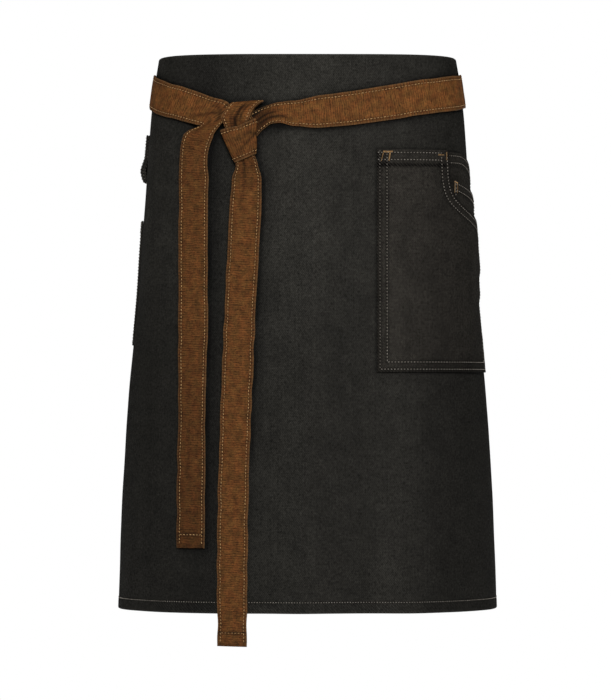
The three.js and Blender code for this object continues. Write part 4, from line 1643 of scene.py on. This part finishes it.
class Signal:
    """A socket of a material's nodes, for use in sums."""

    def __init__(self, paint, socket):
        self.paint = paint
        self.socket = socket

    __add__ = operation("ADD")
    __radd__ = operation("ADD", swapped=True)
    __sub__ = operation("SUBTRACT")
    __rsub__ = operation("SUBTRACT", swapped=True)
    __mul__ = operation("MULTIPLY")
    __truediv__ = operation("DIVIDE")
    __pow__ = operation("POWER")
    floor = operation("FLOOR")
    fraction = operation("FRACT")
    sine = operation("SINE")
    size = operation("ABSOLUTE")
    most = operation("MAXIMUM")

    def step(self, low, high):
        """Rises smoothly from 0 at the low value to 1 at the high one."""
        limits = {"Value": self, "From Min": low, "From Max": high}
        return self.paint.node("ShaderNodeMapRange", {"interpolation_type": "SMOOTHSTEP"}, limits)

    def wave(self):
        """A wave from -1 to 1 with one turn for each whole number."""
        return (self * 2 * math.pi).sine()

    def high_wave(self):
        """The same wave from 0 to 1."""
        return self.wave() * 0.5 + 0.5


class Paint:
    """The nodes of a material or of the world."""

    def __init__(self, owner):
        self.owner = owner
        owner.use_nodes = True
        self.tree = owner.node_tree
        self.tree.nodes.clear()

    def node(self, kind, settings=None, inputs=(), output=0):
        made = self.tree.nodes.new(kind)
        for key, value in (settings or {}).items():
            setattr(made, key, value)
        pairs = inputs.items() if isinstance(inputs, dict) else enumerate(inputs)
        for key, value in pairs:
            if isinstance(value, Signal):
                self.tree.links.new(value.socket, made.inputs[key])
            else:
                made.inputs[key].default_value = value
        return Signal(self, made.outputs[output]) if made.outputs else None

    def cloth(self, scale=1000.0):
        """The two flat coordinates: millimetres across and up the cloth, or plain shares."""
        flat = self.node("ShaderNodeUVMap", {"uv_map": "cloth"})
        flat = self.scaled(flat, scale)
        return [self.node("ShaderNodeSeparateXYZ", None, [flat], k) for k in (0, 1)]

    def scaled(self, vector, factor):
        """A vector or a colour times a factor."""
        inputs = {"Vector": vector, "Scale": factor}
        return self.node("ShaderNodeVectorMath", {"operation": "SCALE"}, inputs)

    def attribute(self, name):
        return self.node("ShaderNodeAttribute", {"attribute_name": name}, (), "Fac")

    def noises(self, x, y, table):
        """The cloudy noises of a table by name, each from 0 to 1, over the cloth in millimetres."""
        made = {}
        for row in table:
            spot = self.node("ShaderNodeCombineXYZ", None, [x / row["across"], y / row["up"], row["level"]])
            inputs = {"Vector": spot, "Scale": 1.0, "Detail": row["detail"], "Roughness": row["rough"]}
            made[row["name"]] = self.node("ShaderNodeTexNoise", {"noise_dimensions": "3D"}, inputs)
        return made

    def drift(self, scale):
        """Slow noise over the object's own space."""
        spot = self.node("ShaderNodeTexCoord", None, (), "Object")
        return self.node("ShaderNodeTexNoise", None, {"Vector": spot, "Scale": scale, "Detail": 2.0})

    def chance(self, x):
        """A random number from 0 to 1 for each whole number."""
        spot = self.node("ShaderNodeCombineXYZ", None, [x, 0.0, 0.0])
        return self.node("ShaderNodeTexWhiteNoise", {"noise_dimensions": "2D"}, {"Vector": spot})

    def blend(self, first, second, share):
        """A colour between two colours."""
        inputs = {0: share, 6: self.colour(first), 7: self.colour(second)}
        return self.node("ShaderNodeMix", {"data_type": "RGBA"}, inputs, 2)

    @staticmethod
    def colour(value):
        return value if isinstance(value, Signal) else (*value, 1)

    def finish(self, colour, roughness, height, depth, **uniform):
        """Ends the material in one cloth shader. Height is a bump in shares of the depth."""
        normal = self.node("ShaderNodeBump", None, {"Strength": 1.0, "Distance": depth, "Height": height})
        sockets = {"Base Color": colour, "Roughness": roughness, "Normal": normal, **uniform}
        shader = self.node("ShaderNodeBsdfPrincipled", None, sockets)
        self.node("ShaderNodeOutputMaterial", None, {"Surface": shader})
        return self.owner


def moved(start, noises, table, key, middle=0.5):
    """A value moved by each noise of a table, as far as the table's column says."""
    for row in table:
        if row[key]:
            start = start + (noises[row["name"]] - middle) * row[key]
    return start


WARP_PITCH = 0.44
WEFT_PITCH = 0.6
TWILL_REPEAT = 4
WEFT_SHOWS_AT = 0.12
WEFT_SHOWS_OVER = (0.1, 0.14)
WEFT_HEIGHT = 0.45


def round_thread(position):
    """The rounded height of a thread, from its position in threads."""
    return 1 - ((position.fraction() - 0.5).size() * 2) ** 2.0


def twill(paint, across, up):
    """A 3/1 twill: where the pale weft shows, the height of the threads and a chance for each warp."""
    warp = across / WARP_PITCH
    weft = up / WEFT_PITCH
    place_in_repeat = ((warp.floor() + weft.floor()) / TWILL_REPEAT).fraction()
    weft_shows = 1 - (place_in_repeat - WEFT_SHOWS_AT).step(*WEFT_SHOWS_OVER)
    height = round_thread(warp) * (1 - weft_shows) + round_thread(weft) * weft_shows * WEFT_HEIGHT
    return weft_shows, height, paint.chance(warp.floor())


# The noises of the denim: cells in millimetres, and how far each moves the light of the weave, the
# mottling, the bump and the roughness
DENIM_NOISES = rows(
    "name across up detail rough level light mottle bump shine",
    ("slub", 1.5, 3.4, 2.0, 0.6, 0.0, 1.5, 0, 1.0, -0.5),
    ("pick", 4.4, 1.3, 2.0, 0.6, 7.0, 1.2, 0, 0.5, 0),
    ("grain", 1.7, 1.8, 2.0, 0.7, 4.0, 1.3, 0, 1.2, -0.7),
    ("cloud", 46, 60, 3.0, 0.55, 9.0, 0, 0, 0, 0),
    ("patch", 8, 9, 2.0, 0.5, 12.0, 0, 0.65, 0, 0),
    ("blotch", 20, 26, 2.0, 0.5, 15.0, 0, 0.7, 0, 0),
    ("rub", 2.2, 2.2, 2.0, 0.6, 21.0, 0, 0, 0, 0),
)
PUCKER_PITCH = 2.93
LEAST_LIGHT = 0.1
WARP_LIGHT = 0.16
RUBBED = (0.15, 0.6)
# Painted shade at creases, seams and under hems, and painted light and shade on the seams' puckers
CREASE_DARKENS = (0.6, 0.35)
TICKS_LIGHT = 0.22
TICKS_BUMP = 0.8
TWILL_BUMP = 0.5
DENIM_ROUGHNESS = 0.7
CREASE_ROUGHNESS = 0.2
DENIM_DEPTH = 0.22 * MM


def denim(name, warp, weft, worn, weft_share, cloudy, faded):
    """Woven denim: twill threads, fine slubs both ways, soft mottling, worn edges and puckered seams, with
    painted shade at creases, seams and under hems, painted light and shade on the puckers, and, if it takes
    it, painted light and shade over the whole cloth.
    """
    paint = Paint(bpy.data.materials.new(name))
    across, up = paint.cloth()
    weft_shows, height, thread_chance = twill(paint, across, up)
    noises = paint.noises(across, up, DENIM_NOISES)
    woven = moved(1, noises, DENIM_NOISES, "light") + (thread_chance - 0.5) * WARP_LIGHT
    mottled = moved(1 + (noises["cloud"] - 0.5) * cloudy, noises, DENIM_NOISES, "mottle")
    light = woven.most(LEAST_LIGHT) * mottled
    # Painted light and shade over the cloth
    if faded:
        light = light * paint.attribute("dye")
    colour = paint.scaled(paint.blend(warp, weft, weft_shows * weft_share), light)
    rubbed = paint.attribute("wear") * (noises["rub"] * RUBBED[1] + RUBBED[0])
    colour = paint.blend(colour, worn, rubbed)
    # Painted shade at creases and seams, and painted light and shade on the puckers
    crease = paint.attribute("crease")
    wave = ((across + up) / PUCKER_PITCH).wave()
    ticks = wave * paint.attribute("pucker")
    dark = crease * (wave * CREASE_DARKENS[1] + CREASE_DARKENS[0])
    colour = paint.scaled(colour, (1 - dark) * (1 + ticks * TICKS_LIGHT))
    bump = moved(height * TWILL_BUMP, noises, DENIM_NOISES, "bump", 0) + ticks * TICKS_BUMP
    roughness = moved(DENIM_ROUGHNESS, noises, DENIM_NOISES, "shine") + crease * CREASE_ROUGHNESS
    return paint.finish(colour, roughness, bump, DENIM_DEPTH, **{"Specular IOR Level": 0.06})


# The noises of the tie cloth, with the same columns
BROWN_NOISES = rows(
    "name across up detail rough level light bump shine",
    ("wander", 9, 9, 2.0, 0.5, 2.0, 0, 0, 0),
    ("patchy", 7, 6, 2.0, 0.5, 6.0, 0, 0, 0),
    ("soft", 8, 6, 2.0, 0.5, 8.0, 0, 0, 0),
    ("slub", 1.4, 6.5, 2.0, 0.6, 11.0, 1.5, 0.8, 0),
    ("grain", 1.7, 1.7, 2.0, 0.7, 17.0, 1.9, 0.9, 0.12),
    ("rub", 1.6, 1.2, 2.0, 0.6, 31.0, 0, 0, 0),
)
RIB_PITCH = 2.05
RIB_WANDERS = 1.6
FINE_PITCH = (0.62, 0.5)
BROWN_LEAST_LIGHT = 0.2
RIB_LIGHT = 0.42
FINE_LIGHT = 0.2
SOFT_LIGHT = 1.4
RIB_BUMP = 0.4
FINE_BUMP = 0.25
PUCKER_BUMP = 1.2
# Painted shade on the puckered lips and at the seams and creases
PUCKER_DARKENS = (0.12, 0.38)
BROWN_CREASE_DARKENS = 0.8
LIP_SHARE = 0.5
BASE_SHARE = 0.35
BROWN_ROUGHNESS = 0.84
BROWN_DEPTH = 0.18 * MM


def brown_denim(name, base, olive, rust, lip):
    """The tie cloth: soft olive and rust patches, fine ribs across the band, painted shade on the puckered
    lips, at the seams and in the creases, and painted light and shade along the tie.
    """
    paint = Paint(bpy.data.materials.new(name))
    along, over = paint.cloth()
    noises = paint.noises(along, over, BROWN_NOISES)
    rib = (along / RIB_PITCH + noises["wander"] * RIB_WANDERS).high_wave()
    fine = (over / FINE_PITCH[1] + along / FINE_PITCH[0]).high_wave()
    colour = paint.blend(olive, rust, noises["patchy"].step(0.34, 0.66))
    colour = paint.blend(colour, base, BASE_SHARE)
    woven = moved(1, noises, BROWN_NOISES, "light") + (rib - 0.5) * RIB_LIGHT + (fine - 0.5) * FINE_LIGHT
    woven = woven * (1 + (noises["soft"] - 0.5) * SOFT_LIGHT)
    # Painted light and shade along the tie
    colour = paint.scaled(colour, woven.most(BROWN_LEAST_LIGHT) * paint.attribute("dye"))
    # Painted shade on the puckered lips, at the seams and in the creases
    pucker = paint.attribute("pucker")
    ticks = (along / PUCKER_PITCH).high_wave() ** 1.5 * noises["wander"].step(0.3, 0.6)
    puckered = 1 - pucker * (ticks * PUCKER_DARKENS[1] + PUCKER_DARKENS[0])
    colour = paint.scaled(colour, (1 - paint.attribute("crease") * BROWN_CREASE_DARKENS) * puckered)
    colour = paint.blend(colour, lip, paint.attribute("wear") * noises["rub"] * LIP_SHARE)
    bump = moved(0, noises, BROWN_NOISES, "bump", 0) + rib * RIB_BUMP + fine * FINE_BUMP
    bump = bump - pucker * ticks * PUCKER_BUMP
    roughness = moved(BROWN_ROUGHNESS, noises, BROWN_NOISES, "shine")
    return paint.finish(colour, roughness, bump, BROWN_DEPTH, **{"Specular IOR Level": 0.1})


THREAD_PLIES = 5
THREAD_DRIFT_SCALE = 260.0
PLY_LIGHT = (0.75, 0.4)
THREAD_ROUGHNESS = (0.62, 0.2)
THREAD_DEPTH = 0.08 * MM


def thread(name, base, pale):
    """Twisted sewing thread: slanting plies and a little difference along the seam."""
    paint = Paint(bpy.data.materials.new(name))
    along, around = paint.cloth(1.0)
    ply = (along * THREAD_PLIES + around / (2 * math.pi)).high_wave()
    drift = paint.drift(THREAD_DRIFT_SCALE)
    colour = paint.blend(base, pale, drift.step(0.35, 0.7))
    colour = paint.scaled(colour, PLY_LIGHT[0] + ply * PLY_LIGHT[1])
    roughness = THREAD_ROUGHNESS[0] + (drift - 0.5) * THREAD_ROUGHNESS[1]
    shine = {"Specular IOR Level": 0.3, "Sheen Weight": 0.08}
    return paint.finish(colour, roughness, ply, THREAD_DEPTH, **shine)


def plain_floor():
    paint = Paint(bpy.data.materials.new("pale_floor"))
    cloud = paint.drift(3.0)
    colour = paint.blend((0.8, 0.8, 0.8), (0.84, 0.84, 0.84), cloud)
    return paint.finish(colour, 0.8, cloud, 0.2 * MM)


# The denims: their colours, how much weft shows, how cloudy they are and whether they take the painted
# light and shade
DENIMS = rows(
    "name warp weft worn weft_share cloudy faded",
    ("dark_denim", (0.0143, 0.0135, 0.0114), (0.036, 0.034, 0.029), (0.05, 0.047, 0.041), 0.5, 0.2, 1),
    ("pocket_denim", (0.0177, 0.0156, 0.0128), (0.042, 0.0385, 0.032), (0.053, 0.048, 0.041), 0.5, 0.7, 1),
    ("denim_reverse", (0.02, 0.019, 0.017), (0.05, 0.048, 0.043), (0.04, 0.04, 0.038), 0.9, 0.3, 0),
)
DARK_DENIM, POCKET_DENIM, REVERSE_DENIM = (denim(**row) for row in DENIMS)
BROWN_DENIM = brown_denim(
    "brown_denim",
    base=(0.102, 0.039, 0.0098),
    olive=(0.095, 0.0415, 0.0105),
    rust=(0.11, 0.037, 0.0096),
    lip=(0.2, 0.12, 0.055),
)
GOLD_THREAD = thread("gold_thread", (0.23, 0.12, 0.038), (0.44, 0.26, 0.1))
TAN_THREAD = thread("tan_thread", (0.13, 0.112, 0.09), (0.25, 0.225, 0.19))


# The apron, piece by piece
SHORT_ROUTE = tie_route(-1, False, SHORT_BELT, SHORT_TURN, SHORT_TAIL, SHORT_TAIL_LENGTH)
LONG_ROUTE = tie_route(1, True, LONG_BELT, LONG_KNOT, LONG_TAIL, LONG_TAIL_LENGTH)
SHORT_RIBBON = Ribbon(SHORT_ROUTE, TIE_THICKNESS)
LONG_RIBBON = Ribbon(LONG_ROUTE, TIE_THICKNESS)
SHADING_TIES = ((SHORT_RIBBON, 0.85), (LONG_RIBBON, 0.2))
SHORT_SEED = 40
LONG_SEED = 50
SHORT_STITCH_SEED = 60
LONG_STITCH_SEED = 70
FIRST_SEAM_SEED = 3

make_panel(DARK_DENIM, REVERSE_DENIM, SHADING_TIES)


def face_rows(face, lines, pitch=DENIM_STITCH_PITCH, radius=THREAD_RADIUS):
    """Rows of stitches along some lines of the cloth, on a face given as a height."""
    return [
        stitched_row(*cloth_path(line, face), pitch, seed=FIRST_SEAM_SEED + k, radius=radius)
        for k, line in enumerate(lines)
    ]


def hem_lines():
    side = HALF_CLOTH - HEM_WIDTH
    low = BOTTOM + HEM_WIDTH
    return [
        [(-side, low), (side, low)],
        [(-side, TOP), (-side, BOTTOM)],
        [(side, TOP), (side, BOTTOM)],
    ]


def panel_back(across, height):
    """The inner face of the panel's hems."""
    return np.full_like(across, -PANEL_CLOTH - HEM_LAYER - 0.5 * HEM_RELIEF)


def turned_over(row):
    """The same stitches on the inner face."""
    return {**row, "facing": -row["facing"]}


hem_stitches = face_rows(panel_relief, hem_lines(), HEM_STITCH_PITCH)
hem_stitches += [turned_over(row) for row in face_rows(panel_back, hem_lines(), HEM_STITCH_PITCH)]
thread_piece("stitches_panel_hem", hem_stitches, TAN_THREAD)

pocket_lines = make_utility_pocket(POCKET_DENIM)
facing_lines, facing_face = make_facing(POCKET_DENIM)
coin_lines, coin_face = make_coin_pocket(POCKET_DENIM)
side_lines, side_face = make_side_pocket(DARK_DENIM)
pocket_stitches = face_rows(pocket_face, pocket_lines[:1], radius=SUNK_THREAD)
pocket_stitches += face_rows(pocket_face, pocket_lines[1:]) + face_rows(coin_face, coin_lines)
pocket_stitches += face_rows(facing_face, facing_lines) + face_rows(side_face, side_lines)
thread_piece("stitches_pockets", pocket_stitches, TAN_THREAD)

# Bar tacks: dense gold stitches over a short line, at the corners of the pocket mouths. Distances in
# from the named corner and down from the mouth, the width of the tack and its thread's radius
TACKS = rows(
    "corner from_in from_down to_in to_down wide thick",
    ("pocket", 5.5, 1.9, 14.0, 1.9, 1.8, 0.24),
    ("pocket", 5.7, 3.0, 3.6, 10.5, 0.8, 0.2),
    ("pocket", 11.6, 3.0, 10.6, 10.2, 1.3, 0.22),
    ("scoop", -3.0, 1.2, -3.0, 8.8, 1.5, 0.13),
    ("scoop", -11.5, 4.2, -5.6, 4.2, 1.5, 0.1),
    ("coin", 0.4, 1.4, 4.8, 2.8, 1.4, 0.2),
    ("coin", 1.0, 2.6, 1.0, 11.5, 1.0, 0.17),
    ("coin", 4.4, 3.6, 4.4, 11.5, 0.9, 0.17),
)
TACK_PITCH = 0.5 * MM


def tack_rows():
    corners = {
        "pocket": (POCKET_LEFT, POCKET_TOP, pocket_face),
        "scoop": (SCOOP_LEFT, POCKET_TOP, pocket_face),
        "coin": (COIN_BOX["left"], COIN_BOX["top"], coin_face),
    }
    sewn = []
    for row in TACKS:
        left, top, face = corners[row["corner"]]
        ends = [
            (left + row[f"{end}_in"] * MM, top - row[f"{end}_down"] * MM) for end in ("from", "to")
        ]
        path = cloth_path(ends, face, TACK_PITCH)
        sewn.append(crossing_row(*path, row["wide"] * MM, TACK_PITCH, row["thick"] * MM))
    return sewn


thread_piece("bar_tacks", tack_rows(), GOLD_THREAD)

short_band = make_tie("tie_short_cloth", SHORT_RIBBON, SHORT_SEED, SHORT_PAINTED_LIGHT, SHORT_CREASES)
long_band = make_tie("tie_long_cloth", LONG_RIBBON, LONG_SEED, LONG_PAINTED_LIGHT, LONG_CREASES)
short_rows = tie_stitches(short_band, SHORT_STITCH_SEED)
long_rows = tie_stitches(long_band, LONG_STITCH_SEED, SUNK_THREAD)
thread_piece("stitches_tie_short", short_rows, GOLD_THREAD)
thread_piece("stitches_tie_long", long_rows, GOLD_THREAD)
thread_piece("stitches_side_loop", make_side_loop(DARK_DENIM), TAN_THREAD)


# Camera, light and floor, as the photograph has them
CAMERA_DISTANCE = 3.5
CAMERA_HEIGHT = -0.276
FOCAL_LENGTH = 195.6
SENSOR = 36.0
LOOKS_UP = math.atan(40 / 3804)
FLOOR_HEIGHT = -1.0
FLOOR_SIZE = 8
SEEN_WORLD = 1.0
LIT_WORLD = 0.2
MIRRORED_WORLD = 0.05
LIGHTS = rows(
    "name spot aim power size glossy",
    ("key", (0.15, -2.7, 0.9), (0, -0.1, -0.15), 82, (1.0, 0.7), True),
    ("left_fill", (-1.8, 2.6, 1.0), (0, 0, -0.2), 60, (1.5, 1.5), False),
    ("right_fill", (1.8, 2.6, 1.0), (0, 0, -0.2), 60, (1.5, 1.5), False),
)


def place_camera():
    data = bpy.data.cameras.new("camera")
    data.lens = FOCAL_LENGTH
    data.sensor_fit = "VERTICAL"
    data.sensor_height = SENSOR
    data.sensor_width = SENSOR
    spot = (0, -CAMERA_DISTANCE, CAMERA_HEIGHT)
    bpy.context.scene.camera = add_object("camera", data, spot, (math.pi / 2 + LOOKS_UP, 0, 0))


def area_light(name, spot, aim, power, size, glossy):
    data = bpy.data.lights.new(name, "AREA")
    data.shape = "RECTANGLE"
    data.size, data.size_y = size
    data.energy = power
    turned = (Vector(aim) - Vector(spot)).to_track_quat("-Z", "Y").to_euler()
    add_object(name, data, spot, turned).visible_glossy = glossy


def light_world():
    """White behind the object, and a softer light from all round."""
    world = bpy.data.worlds.new("studio")
    bpy.context.scene.world = world
    paint = Paint(world)
    strength = LIT_WORLD
    for ray, level in (("Is Glossy Ray", MIRRORED_WORLD), ("Is Camera Ray", SEEN_WORLD)):
        chosen = paint.node("ShaderNodeLightPath", None, (), ray)
        strength = paint.node("ShaderNodeMix", None, {0: chosen, 2: strength, 3: level})
    background = paint.node("ShaderNodeBackground", None, {"Color": (1, 1, 1, 1), "Strength": strength})
    paint.node("ShaderNodeOutputWorld", None, {"Surface": background})


def lay_floor():
    deselect_all()
    bpy.ops.mesh.primitive_plane_add(size=FLOOR_SIZE, location=(0, 0, FLOOR_HEIGHT))
    floor = bpy.context.active_object
    floor.name = "studio_floor"
    floor.data.materials.append(plain_floor())


place_camera()
light_world()
for row in LIGHTS:
    area_light(**row)
lay_floor()
bpy.context.scene.view_settings.view_transform = "Standard"
